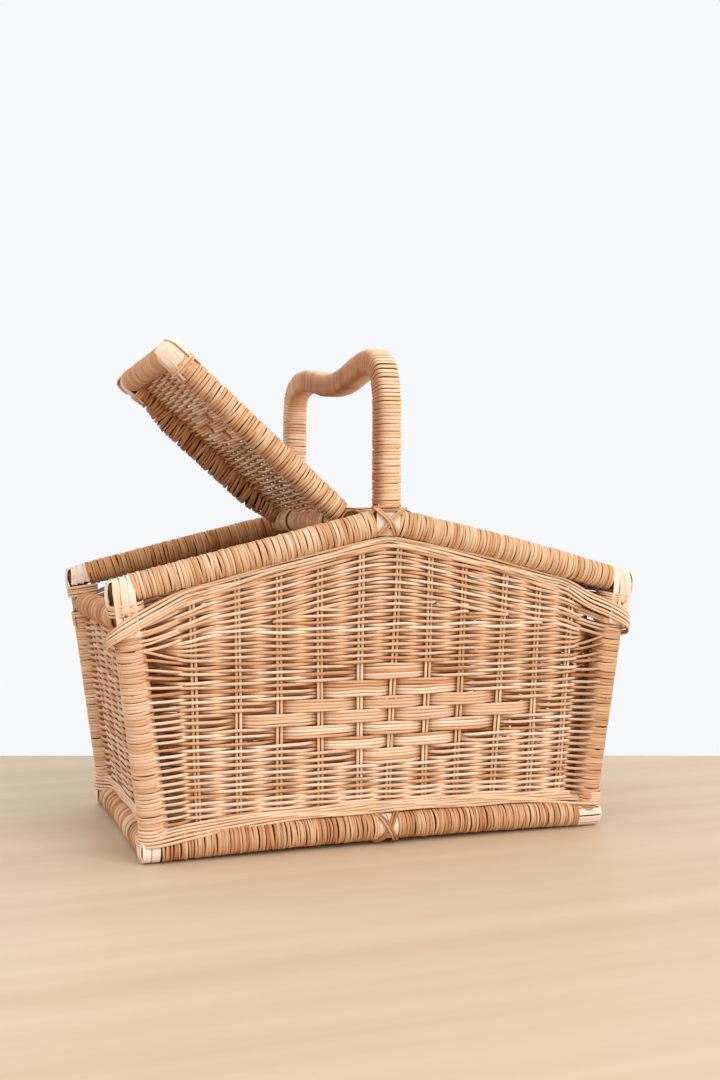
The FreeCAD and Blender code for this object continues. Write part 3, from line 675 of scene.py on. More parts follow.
def panel_fb(sy, seed, name_tag, body="basket"):
    oval = OVAL if sy < 0 else 1.34
    r_ = np.random.default_rng(seed)
    rows = row_levels(sy > 0)
    wob = value_noise(len(rows), len(S), 3, 5, 0.45, seed + 5)
    wob2 = value_noise(len(rows), len(S), 1, 6, 0.22, seed + 6)
    full, part = [], []
    for n, (r, z, ext) in enumerate(rows):
        sg = np.array([row_sign(r, i) for i in range(-6, 7)])
        i0 = np.clip(np.floor(S + 6).astype(int), 0, 11)
        tt = S + 6 - i0
        t = np.where(sg[i0] > sg[i0 + 1], cosine(np.clip((tt - 0.44) / 0.5, 0, 1)),
                     cosine(np.clip((tt - 0.06) / 0.5, 0, 1)))
        w = AMP * (sg[i0] * (1 - t) + sg[i0 + 1] * t)
        # at the posts the row goes round the outside or tucks in behind
        e = smooth((np.abs(S) - 5.0) / 1.0)
        end = np.where(S < 0, sg[0], sg[-1])
        w = np.where(np.abs(S) > 5, w * (1 - e) + np.where(end > 0, 9.6, -9.0) * e, w)
        zz = z + wob[n] + wob2[n]
        if ext == 6.0 and r >= NL - 10:
            # near the posts the rows draw together in pairs
            zz = zz + 0.75 * (1 if (r // 2) % 2 else -1) * np.sin(np.pi * np.clip((np.abs(S) - 4.4) / 1.6, 0, 1))
        xx = np.empty_like(S)
        for j in range(12):
            m = (i0 == j)
            tt = (S + 6 - j)[m]
            xx[m] = stake_x(j - 6, zz[m]) * (1 - tt) + stake_x(j - 5, zz[m]) * tt
        yy = sy * (post_xy(zz)[1] + w)
        P = np.stack([xx, yy, zz], 1)
        rad = (1.18 if sy < 0 else 1.26) * r_.uniform(0.88, 1.1)
        tone = np.clip(r_.normal(0.58, 0.16), 0.25, 0.95)
        # painted shade: darker where the row dips behind a stake, more where it tucks in behind a post, and on the
        # strand ends next to the right-hand posts
        dk = 0.7 * smooth((-w - 0.5) / 1.5) + 0.6 * smooth((-w - 2.2) / 3) * smooth(np.abs(S) - 5)
        dk = np.minimum(dk + 0.4 * smooth((S - 5.0) / 0.8), 1.0)
        if ext == 6.0:
            full.append((P, rad, tone, dk))
        else:
            m = (S >= -ext[0] - 0.01) & (S <= ext[1] + 0.01)
            Q = P[m]
            tails = []
            for side in (-1, 1):
                i = int(-ext[0] if side < 0 else ext[1])
                a = Q[0] if side < 0 else Q[-1]
                up = 1.0 if ((r + (side > 0)) % 2 == 0) else -1.0
                sgn = row_sign(r, i)
                steps = []
                for ph in (0.25, 0.5, 0.75, 1.0):
                    an = ph * np.pi / 2
                    steps.append([a[0] + side * 4.0 * math.sin(an),
                                  sy * (post_xy(a[2])[1] + sgn * AMP * math.cos(an)),
                                  a[2] + up * PITCH * 0.5 * (1 - math.cos(an))])
                tails.append(np.array(steps))
            Q = np.vstack([tails[0][::-1], Q, tails[1]])
            d2 = np.concatenate([np.full(4, dk[m][0]), dk[m], np.full(4, dk[m][-1])])
            part.append((Q, rad, tone, d2))
    # long rows in three pieces so that no mesh gets too heavy
    n_full = len(full)
    bands = [(0, 14, "low"), (14, 44, "diamond"), (44, n_full, "top")]
    ref = (0, sy, 0.0)
    for a, b, nm in bands:
        k = Kit()
        P = np.stack([q[0] for q in full[a:b]])
        rr = np.array([q[1] for q in full[a:b]])[:, None] * (1 - 0.14 * smooth(np.abs(S) - 4.9))[None]
        k.tubes(P, rr, rr * oval, ref=ref,
                tone=np.array([q[2] for q in full[a:b]]), dark=np.stack([q[3] for q in full[a:b]]))
        if nm == "top":
            for Q, rad, tone, d2 in part:
                k.tubes(Q, rad, rad * oval, ref=ref, tone=np.array([tone]), dark=d2[None])
        k.make("%s_weavers_%s" % (name_tag, nm), M_WEAVE, body, "weaver_cane",
               ["%s_panel_weave" % name_tag] if nm == "low" else [])
    # stakes
    k = Kit()
    for i in range(-5, 6):
        for s_ in (-0.5, 0.5):
            z = np.linspace(21.5, 240, 24)
            x = stake_x(i, z) + s_ * 2.9
            top = rail_low(x[-1]) - 0.6
            z = np.linspace(21.5, top, 24)
            x = stake_x(i, z) + s_ * 2.9 + 0.25 * np.sin(z / 23.0 + i + s_)
            P = np.stack([x, sy * (post_xy(z)[1] + 0.15 * np.sin(z / 17.0 + i)), z], 1)
            k.tubes(P, 1.15, ref=ref, sec=ROUND8, tone=np.array([r_.uniform(0.45, 0.95)]))
    k.make("%s_stakes" % name_tag, M_STAKE, body, "stake_cane", ["%s_panel_stakes" % name_tag])
    # border strands under the gable rail
    k = Kit()
    for j in range(5):
        x = np.linspace(-150, 150, 84)
        z = rail_low(x) - 0.6 - 1.8 * j - 0.6 * np.cos(x / (23.0 + 3 * j) + 2.0 * j) - 0.8 * j * smooth((np.abs(x) - 80) / 60)
        w = 3.4 - 0.4 * j + 0.9 * np.sin(x / 11.0 + 2.1 * j)
        mid = np.stack([x, sy * (post_xy(z)[1] + w), z], 1)
        tails = []
        for sx in (-1, 1):
            jz = r_.uniform(-0.6, 0.6) - (2.7 if sx < 0 else 3.1) * j
            jr = r_.uniform(-0.3, 0.5)
            tails.append(np.array([
                (sx * 168, sy * (114.0 + jr), 186.2 + jz), (sx * 181, sy * (118.6 + jr), 180.2 + jz),
                (sx * 191, sy * (121.0 + jr), 175.0 + jz), (sx * 199.0, sy * (119.6 + jr), 169.5 + 0.9 * jz),
                (sx * (203.8 + jr), sy * 113.5, 164.5 + 0.8 * jz), (sx * (205.2 + jr), sy * 106.5, 161.5 + 0.8 * jz),
                (sx * 202.4, sy * 100.0, 160.6 + 0.8 * jz)]))
            if sy > 0:
                # behind, the ends lie close round the post
                zt = tails[-1][3:, 2]
                px, py = post_xy(zt)
                an = np.radians([22, 52, 84, 118])
                tails[-1][3:, 0] = sx * (px + SHIFT[0] + 11.1 * np.sin(an))
                tails[-1][3:, 1] = py + SHIFT[1] + 11.1 * np.cos(an)
        ctrl = np.vstack([tails[0][::-1], mid[::6], mid[-1:], tails[1]])
        P = spline(ctrl, 150)
        k.tubes(P, 1.08, ref=ref, tone=np.array([r_.uniform(0.4, 0.85)]))
    k.make("%s_top_border" % name_tag, M_BORDER, body, "weaver_cane")


panel_fb(-1, 101, "front")
panel_fb(1, 202, "back")

# ---------------------------------------------------------------- side panels
S2_STEP = 8
S2 = np.linspace(-3, 3, 6 * S2_STEP + 1)


def panel_lr(sx, seed, name_tag):
    r_ = np.random.default_rng(seed)
    ztop = 163.0
    nrow = int((ztop - 27.0) / PITCH)
    wob = value_noise(nrow, len(S2), 3, 5, 0.4, seed + 5)
    Ps, rads, tones, dks = [], [], [], []
    for r in range(nrow):
        z = 26.5 + PITCH * r - 5.5 * math.exp(-r / 3.0) * (np.abs(S2) / 3) ** 3 + wob[r]
        sg = np.array([1.0 if (r + i) % 2 == 0 else -1.0 for i in range(-3, 4)])
        i0 = np.clip(np.floor(S2 + 3).astype(int), 0, 5)
        tt = S2 + 3 - i0
        t = np.where(sg[i0] > sg[i0 + 1], cosine(np.clip((tt - 0.44) / 0.5, 0, 1)),
                     cosine(np.clip((tt - 0.06) / 0.5, 0, 1)))
        w = AMP * (sg[i0] * (1 - t) + sg[i0 + 1] * t)
        e = smooth((np.abs(S2) - 2.0) / 1.0)
        end = np.where(S2 < 0, sg[0], sg[-1])
        w = np.where(np.abs(S2) > 2, w * (1 - e) + np.where(end > 0, 4.5, -3.6) * e, w)
        px, py = post_xy(z)
        P = np.stack([sx * (px + w), S2 / 3 * py, z], 1)
        Ps.append(P)
        rads.append(1.17 * r_.uniform(0.86, 1.08))
        # painted shade: the end panels take a lower tone than the front and back, and rows are darker where they dip
        # behind a stake
        tones.append(np.clip(r_.normal(0.42, 0.16), 0.1, 0.9))
        dks.append(1.0 * smooth((-w - 0.3) / 1.6))
    k = Kit()
    P = np.stack(Ps)
    ref = (sx, 0, 0)
    rr = np.array(rads)[:, None] * np.ones(P.shape[:2])
    k.tubes(P, rr, rr * 1.3, ref=ref, tone=np.array(tones), dark=np.stack(dks))
    k.make("%s_weavers" % name_tag, M_WEAVE, "basket", "weaver_cane", ["%s_panel_weave" % name_tag])
    k = Kit()
    for i in range(-2, 3):
        for s_ in (-0.5, 0.5):
            z = np.linspace(21.0, 163.8, 20)
            px, py = post_xy(z)
            P = np.stack([sx * (px + 0.15 * np.sin(z / 15 + i)), i / 3 * py + s_ * 2.9, z], 1)
            k.tubes(P, 1.15, ref=ref, sec=ROUND8, tone=np.array([r_.uniform(0.4, 0.9)]))
    k.make("%s_stakes" % name_tag, M_STAKE, "basket", "stake_cane", ["%s_panel_stakes" % name_tag])


panel_lr(-1, 303, "left")
panel_lr(1, 404, "right")


# long twined strands right round the foot of the panels
ZL, ZC, ZR = [13.6, 16.1, 18.6, 21.1, 23.5], [24.6, 26.4, 28.1, 29.8, 31.4], [19.2, 21.2, 23.1, 25.0, 26.8]
k = Kit()
for j in range(5):
    P, R = [], []
    ss = np.linspace(-5.65, 5.65, 72)
    s2 = np.linspace(-2.75, 2.75, 34)

    def corner_z(sx):
        return ZL[j] if sx < 0 else ZR[j]

    def long_side(sy, sgn):
        q = ss * sgn
        sa = np.abs(q / 6)
        z = np.where(q < 0, ZL[j] + (ZC[j] - ZL[j]) * (1 - sa ** 2.6), ZR[j] + (ZC[j] - ZR[j]) * (1 - sa ** 2.6))
        z = z + 0.5 * np.sin(q * 2.1 + j)
        x = np.interp(q, np.arange(-6, 7), [float(stake_x(i, 30.0)) for i in range(-6, 7)])
        w = 3.3 + 1.3 * np.sin(q * np.pi + j * 2.2)
        w = np.maximum(w, 3.4 + np.sqrt(np.maximum(11.0 ** 2 - (z - 10.1) ** 2, 0)) * smooth((np.abs(x) - 100) / 50))
        P.append(np.stack([x, sy * (post_xy(z)[1] + w), z], 1))
        R.append(np.tile([0, sy, 0.0], (len(q), 1)))

    def short_side(sx, sgn):
        q = s2 * sgn
        sa = np.abs(q / 3)
        zm = 21.5 + 2.0 * j
        z = zm + (corner_z(sx) - zm) * sa ** 2.6
        w = 3.2 + 1.2 * np.sin(q * np.pi + j * 2.2)
        w = np.maximum(w, 3.4 + np.sqrt(np.maximum(11.0 ** 2 - (z - 10.1) ** 2, 0)) * smooth((sa - 0.6) / 0.3))
        px, py = post_xy(z)
        P.append(np.stack([sx * (px + w), q / 3 * py, z], 1))
        R.append(np.tile([sx, 0, 0.0], (len(q), 1)))

    def corner(sx, sy, a0, a1):
        z = corner_z(sx)
        px, py = post_xy(max(z, 20.0))
        a = np.radians(np.linspace(a0, a1, 7))
        d = np.stack([np.cos(a), np.sin(a), 0 * a], 1)
        P.append(np.array([sx * (px + 1.4), sy * (py + 1.0), z]) + 12.6 * d)
        R.append(d)

    long_side(-1, 1)
    corner(1, -1, -82, -8)
    short_side(1, 1)
    corner(1, 1, 8, 82)
    long_side(1, -1)
    corner(-1, 1, 98, 172)
    short_side(-1, -1)
    corner(-1, -1, 188, 262)
    P, R = np.concatenate(P), unit(np.concatenate(R))
    for _ in range(2):
        P = (np.roll(P, 1, 0) + 2 * P + np.roll(P, -1, 0)) / 4
        R = unit((np.roll(R, 1, 0) + 2 * R + np.roll(R, -1, 0)) / 4)
    k.tubes(P[None], 1.2, ref=R[None], tone=np.array([rng.uniform(0.35, 0.75)]), closed=True)
k.make("base_border", M_BORDER, "basket", "weaver_cane")


# ---------------------------------------------------------------- floor
def woven_sheet(kit_w, kit_s, along, across, n_stakes, gap, place, seed, z_amp=2.0, bundles=(),
                oval=1.12, tone_mu=0.5, notch=None, rail_shadow=0.0):
    """Weavers along the second axis over paired stakes along the first.
    along: (u0, u1) range that stakes run, across: half width that weavers run."""
    r_ = np.random.default_rng(seed)
    u0, u1 = along
    nrow = int((u1 - u0) / PITCH)
    pitch = (u1 - u0) / nrow
    half = n_stakes // 2
    ext = across / gap
    T_ = np.linspace(-ext, ext, int(2 * ext * 7) + 1)
    wob = value_noise(nrow, len(T_), 3, 5, 0.35, seed + 9)
    for r in range(nrow):
        def sign(i):
            for a, b, m in bundles:
                if a <= r < b and abs(i) <= m:
                    return 1.0 if (m - i) % 2 else -1.0
            return 1.0 if (r + i) % 2 == 0 else -1.0
        i0 = np.floor(T_).astype(int)
        t = cosine(T_ - i0)
        sa = np.array([sign(int(i)) for i in i0])
        sb = np.array([sign(int(i) + 1) for i in i0])
        w = z_amp * (sa * (1 - t) + sb * t)
        u = u0 + (r + 0.5) * pitch + wob[r]
        y = T_ * gap
        m = np.ones(len(T_), bool)
        segs = [m]
        if notch is not None and u.mean() < notch[0]:
            segs = []
            edges = [-1e9] + [v for ly in notch[1] for v in (ly - notch[2], ly + notch[2])] + [1e9]
            for a, b in zip(edges[::2], edges[1::2]):
                segs.append((y > a) & (y < b))
        tone = np.array([np.clip(r_.normal(tone_mu, 0.16), 0.05, 1)])
        rad = 1.17 * r_.uniform(0.88, 1.07)
        for m in segs:
            if m.sum() < 3:
                continue
            # painted shade where each strand passes between the stakes, and painted shadow of the rails towards the
            # side edges
            kit_w.tubes(place(u[m], y[m], w[m]), rad, rad * oval, ref=place.up, tone=tone,
                        dark=(0.3 * smooth((-np.abs(w) + 1.5) / 2.0)
                              + rail_shadow * smooth((np.abs(y) - across * 0.55) / (across * 0.45)))[None][:, m])
    for i in range(-half, half + 1):
        for s_ in (-0.5, 0.5):
            u = np.linspace(u0 + 0.3, u1 - 0.3, 18)
            y = np.full_like(u, i * gap + s_ * 2.8)
            kit_s.tubes(place(u, y, 0.12 * np.sin(u / 13 + i)), 1.1, ref=place.up, sec=ROUND8,
                        tone=np.array([r_.uniform(0.35, 0.85)]))


class FloorPlace:
    up = (0, 0, 1)

    def __call__(self, u, y, w):
        # stakes run along Y, weavers along X
        return np.stack([y, u, 16.1 + w], -1)


kw, ks = Kit(), Kit()
woven_sheet(kw, ks, (-92.8, 92.8), 163.0, 11, 29.0, FloorPlace(), 505, z_amp=1.7)
kw.make("floor_weavers", M_WEAVE, "basket", "weaver_cane", ["floor_weave"])
ks.make("floor_rods", M_STAKE, "basket", "stake_cane", ["floor_stakes"])


# ---------------------------------------------------------------- handle
HP = [(-112.0, 236.0), (-112.0, 262.0), (-112.2, 290.0), (-112.6, 318.0), (-111.8, 336.0),
      (-106.5, 351.5), (-95.0, 360.0), (-78.0, 362.2), (-52.0, 359.0), (-26.0, 354.2), (0.0, 352.4)]
HP = HP + [(-y_, z_) for y_, z_ in reversed(HP[:-1])]
hpts = spline([(-3.6 * float(smooth((y_ - 84) / 24)) * float(smooth((z_ - 250) / 40)), y_, z_)
               for y_, z_ in HP], 260)
f, L, _ = rail(hpts)
k = Kit()
k.tubes(hpts[::4], 7.6, ref=(1, 0, 0), sec=section(20, 5.0), tone=0.3)
k.make("handle_core", M_BROWN, "basket", "pole", ["handle_pole"])
k = Kit()
# painted shade on the left face and underside of the handle wrap, less of it on the rear leg
wrap(k, f, 15.5, L - 15.5, 2.6, 8.6, rn=0.85, ref=(1, 0, 0), slant=0.35, seg=36, shape=5.0,
     tone=(0.4, 1.0), gap=0.0, jit=0.12, bulge=0.16, drift=0.1, seed=71, shade=((-0.97, 0.1, -0.45), lambda q: 0.8 - 0.4 * smooth((q / L - 0.62) / 0.12)))
k.make("handle_wrapping", M_GRIP, "basket", "wrap_cane", ["handle_wrap"])


# ---------------------------------------------------------------- splints and lashings
def splint(kit, pts, width, thick=0.6, ref=None, n=30, tone=None):
    P = spline(pts, n)
    kit.tubes(P, thick, width / 2, ref=ref, sec=SPLINT,
              tone=np.array([rng.uniform(0.55, 1.0) if tone is None else tone]))


k = Kit()
ks = Kit()
kn = Kit()
for sy in (-1, 1):
    for sx in (-1, 1):
        for j in range(3):
            x0 = 200.4 - 5.2 * j
            zc = float(gable_z(x0))
            R = 8.9
            arc = [(x0, GABLE_Y + R * math.cos(t), zc + R * math.sin(t))
                   for t in np.radians(np.linspace(0, 180, 13))]
            dx = 5.2 - 5.2 * j
            down = []
            for zz, lean in ((188.0, 0.6), (180.0, 1.6), (171.0, 2.8), (161.5, 4.0)):
                py = post_xy(zz)[1] + SHIFT[1]
                down.append((x0 - lean, py + math.sqrt(12.3 ** 2 - dx ** 2 * 0.8) - 0.2, zz))
            tail = [(x0, GABLE_Y - R, zc - 6.0)]
            P = spline(np.array(down[::-1] + arc + tail), 60)
            cen = np.stack([P[:, 0], np.full(60, GABLE_Y), zc + 0 * P[:, 2]], 1)
            ref = np.where(P[:, 2:] > zc, unit(P - cen),
                           np.where(P[:, 1:2] > GABLE_Y, np.array([[-dx * 0.03, 1.0, 0]]), np.array([[0, -1.0, 0]])))
            flip3 = np.array([sx, sy, 1.0])
            k.tubes(P * flip3, 0.55, 2.62, ref=unit(ref) * flip3, sec=SPLINT,
                    tone=np.array([rng.uniform(0.55, 1.0)]))
        # cap strip over the rail's end face
        R = 6.4
        xe = 204.9
        zc = float(gable_z(204))
        a = np.radians(np.linspace(100, -100, 15))
        P = np.stack([np.full(15, sx * xe), sy * (GABLE_Y + 0.0) + 0 * a, zc + 8.2 * np.sin(a)], 1)
        pts = [(sx * (xe - 4), sy * GABLE_Y, zc + 8.9), (sx * (xe + 0.1), sy * GABLE_Y, zc + 7.6),
               (sx * (xe + 0.9), sy * GABLE_Y, zc + 3), (sx * (xe + 0.9), sy * GABLE_Y, zc - 4),
               (sx * (xe - 0.6), sy * GABLE_Y, zc - 9.5)]
        splint(k, pts, 11.0, 0.55, ref=(sx, 0, 0.3), n=24, tone=0.85)
k.make("top_splints", M_SPLINT, "basket", "splint", ["top_corner_straps"])

# bindings round the post tops, over the splints
k = Kit()
for sy in (-1, 1):
    for sx in (-1, 1):
        z = np.linspace(160, 200, 9)
        px, py = post_xy(z)
        f, L, _ = rail(np.stack([sx * (px + SHIFT[0]), sy * (py + SHIFT[1]), z], 1))
        wrap(k, f, 18.0, 26.0, 2.0, 12.0, rn=0.9, ref=(0, 1, 0), slant=0.5,
             seed=81 + 2 * sy + sx, tone=(0.35, 0.8), jit=0.1, drift=0.5, shape=2.6)
        wrap(k, f, 1.0, 5.0, 2.3, 11.5, rn=1.0, ref=(0, 1, 0), slant=0.3,
             seed=91 + 2 * sy + sx, tone=(0.45, 0.85), jit=0.1, drift=0.3)
k.make("post_bindings", M_WEAVE, "basket", "weaver_cane", ["corner_post_bindings"])

# base corner splints: round the ends of the front and back base rails
k = Kit()
for sy in (-1, 1):
    for sx in (-1, 1):
        if sx < 0:
            for j in range(2):
                x0 = 181.7 - 3.4 - 6.6 * j
                th = np.linspace(0, 2 * np.pi, 30, endpoint=False)
                rad = np.stack([0 * th, np.cos(th), np.sin(th)], 1)
                P = np.array([sx * x0, sy * BASE_Y, 10.1]) + 8.75 * rad
                k.tubes(P[None], 0.6, 3.1, ref=rad[None], sec=SPLINT,
                        tone=np.array([rng.uniform(0.7, 1.0)]), closed=True)
        else:
            for j, a in enumerate(np.radians([-62, -22, 18, 58, 100])):
                ca, sa_ = math.cos(a), math.sin(a)
                def at(x, rr):
                    return (sx * x, sy * (BASE_Y + rr * ca), 10.1 + rr * sa_)
                pts = [at(161.5, 8.6), at(170, 8.7), at(178, 8.6), at(181.6, 7.6), at(182.9, 5.2), at(183.0, 1.5)]
                splint(k, pts, 5.2, 0.6, ref=(sx * 0.25, sy * ca, sa_), n=26)
        # face of the rail end
        for j in range(3):
            yy = BASE_Y + (-5.2 + 5.2 * j)
            h = math.sqrt(max(8.0 ** 2 - (yy - BASE_Y) ** 2, 1))
            pts = [(sx * 181.0, sy * yy, 10.1 + h), (sx * 182.2, sy * yy, 10.1 + h * 0.7),
                   (sx * 182.5, sy * yy, 10.1), (sx * 182.2, sy * yy, 10.1 - h * 0.7),
                   (sx * 181.0, sy * yy, 10.1 - h)]
            if sx < 0:
                splint(k, pts, 5.0, 0.5, ref=(sx, 0, 0), n=16)
k.make("base_splints", M_SPLINT, "basket", "splint", ["base_corner_straps"])

# foot straps of the handle: two splints side by side down the front of the gable rail
k = Kit()
kl = Kit()
for sy in (-1, 1):
    xc = -1.3 if sy < 0 else 0.0
    zc = APEX_TOP - WRAP_R
    for off in (-4.6, 4.6):
        R = 9.6
        pts = [(xc * 0.3 + off * 0.75, sy * 117.8, zc + 15.0), (xc * 0.6 + off * 0.85, sy * 119.2, zc + 9.8),
               (xc + off, sy * (GABLE_Y + R + 0.4), zc + 5)]
        pts += [(xc + off, sy * (GABLE_Y + R * math.cos(a)), zc + R * math.sin(a) - 0.4)
                for a in np.radians(np.linspace(0, -120, 8))]
        P = spline(pts, 36)
        cen = np.stack([P[:, 0], np.full(36, sy * GABLE_Y), np.maximum(P[:, 2], zc) * 0 + np.where(P[:, 2] > zc, P[:, 2], zc)], 1)
        k.tubes(P, 0.6, 4.5, ref=unit(P - cen), sec=SPLINT, tone=np.array([rng.uniform(0.75, 1.0)]))
    # crossed lashing, two strands each way
    for sgn in (-1, 1):
        for d in (-1.3, 1.3):
            pts = []
            for t in np.linspace(-1, 1, 11):
                z = zc + 9.5 * t + (1.0 if t > 0 else 0)
                x = xc + 0.8 + sgn * t * (11.5 if t > 0 else 6.5) + d * 0.95
                yo = GABLE_Y + math.sqrt(max(11.6 ** 2 - (z - zc) ** 2, 4.0)) if z < zc else GABLE_Y + 11.9
                if t > 0.7:
                    yo = GABLE_Y + 11.9
                pts.append((x, sy * (yo + (0.5 if sgn > 0 else 1.4) * (1 - abs(t))), z))
            P = spline(pts, 30)
            kl.tubes(P, 1.05, ref=(0, sy, 0.2), tone=np.array([rng.uniform(0.3, 0.65)]))
k.make("handle_straps", M_SPLINT, "basket", "splint", ["handle_foot_straps"])
# bindings at the foot of each handle leg
for sy in (-1, 1):
    th = np.linspace(0, 2 * np.pi, 40, endpoint=False)
    for j in range(2):
        zc = 250.6 + 2.3 * j
        c, s = np.cos(th), np.sin(th)
        e = 2 / 4.0
        rad = np.stack([np.sign(c) * np.abs(c) ** e, np.sign(s) * np.abs(s) ** e, 0 * th], 1)
        P = np.array([0.0, sy * 112.0, zc]) + rad * np.array([9.0, 9.4, 1]) \
            + np.array([0, 0, 1]) * (0.9 * np.sin(th + j))[:, None]
        kl.tubes(P[None], 1.1, ref=unit(rad)[None], tone=np.array([rng.uniform(0.3, 0.7)]), closed=True)
kl.make("handle_crossings", M_WRAP, "basket", "wrap_cane", ["handle_lashings"])

k = Kit()
kb = Kit()
for sy in (-1, 1):
    xc = 2.5 if sy < 0 else 0.0
    zc = 13.1
    th = np.linspace(0, 2 * np.pi, 30, endpoint=False)
    rad = np.stack([0 * th, np.cos(th), np.sin(th)], 1)
    for off in (-4.0, 4.0):
        P = np.array([xc + off, sy * BASE_Y, zc]) + 8.8 * rad
        kb.tubes(P[None], 0.55, 3.8, ref=rad[None], sec=SPLINT, tone=np.array([rng.uniform(0.45, 0.7)]),
                 closed=True)
    for sgn in (-1, 1):
        for d in (-1.2, 1.2):
            pts = []
            for t in np.linspace(-1, 1, 11):
                a = t * 1.45
                pts.append((xc + sgn * t * 8.5 + d, sy * (BASE_Y + (10.6 + (0.3 if sgn > 0 else 1.2) * (1 - abs(t))) * math.cos(a)),
                            zc + 10.6 * math.sin(a)))
            k.tubes(spline(pts, 30), 1.0, ref=(0, sy, 0), tone=np.array([rng.uniform(0.25, 0.6)]))
kb.make("base_patches", M_SPLINT, "basket", "splint")
k.make("base_crossings", M_WRAP, "basket", "wrap_cane", ["base_lashings"])

# nails: low domed heads
k = Kit()


def nail(c, axis, r):
    axis = np.asarray(axis, float)
    P = np.array([np.asarray(c) + axis * d for d in (-0.6, 0.25, 0.6, 0.8)])
    k.tubes(P[None], np.array([[r, r, r * 0.7, r * 0.25]]), ref=(0, 0, 1), sec=section(12))


nail((1.0, -119.9, APEX_TOP - WRAP_R + 11.5), (0, -1, 0), 1.3)
nail((0, 121.6, 249.6), (0, 1, 0), 1.3)
for sy in (-1, 1):
    for sx in (-1, 1):
        px, py = post_xy(181.0)
        nail((sx * (TOP_HALF_W - 11.0), sy * (py + SHIFT[1] + 12.9), 177.0), (0, sy, 0), 1.2)
k.make("nail_heads", M_NAIL, "basket", "nail", ["nails"])


# ---------------------------------------------------------------- lids
class Raised:
    """The woven sheet of a lid lies above the middle of its rails."""
    def __init__(self, at, lift):
        self.at, self.lift = at, lift
        self.up, self.along = at.up, at.along

    def __call__(self, u, y, w):
        y = np.asarray(y, float)
        return self.at(u, y, w + self.lift * (1 - 0.5 * smooth((np.abs(y) - 66) / 14)))


class LidPlace:
    def __init__(self, tip, flip, twist=0.0):
        self.a, self.s, self.twist = math.radians(tip), -1.0 if flip else 1.0, math.radians(twist)
        ca, sa = math.cos(self.a), math.sin(self.a)
        self.up = np.array([self.s * sa, 0.0, ca])
        self.along = np.array([self.s * ca, 0.0, -sa])

    def __call__(self, u, y, w):
        u, y, w = np.broadcast_arrays(np.asarray(u, float), np.asarray(y, float), np.asarray(w, float))
        w = w - u * np.tan(self.twist * (3.44 + y / LID_SIDE_Y))
        u = u * (1 + (-0.004 - 0.011 * y / LID_SIDE_Y) * smooth(u / 60) * (self.twist > 0))
        ca, sa = math.cos(self.a), math.sin(self.a)
        x = HINGE_X + u * ca + w * sa
        z = HINGE_Z - u * sa + w * ca
        return np.stack([self.s * x, y, z], -1)


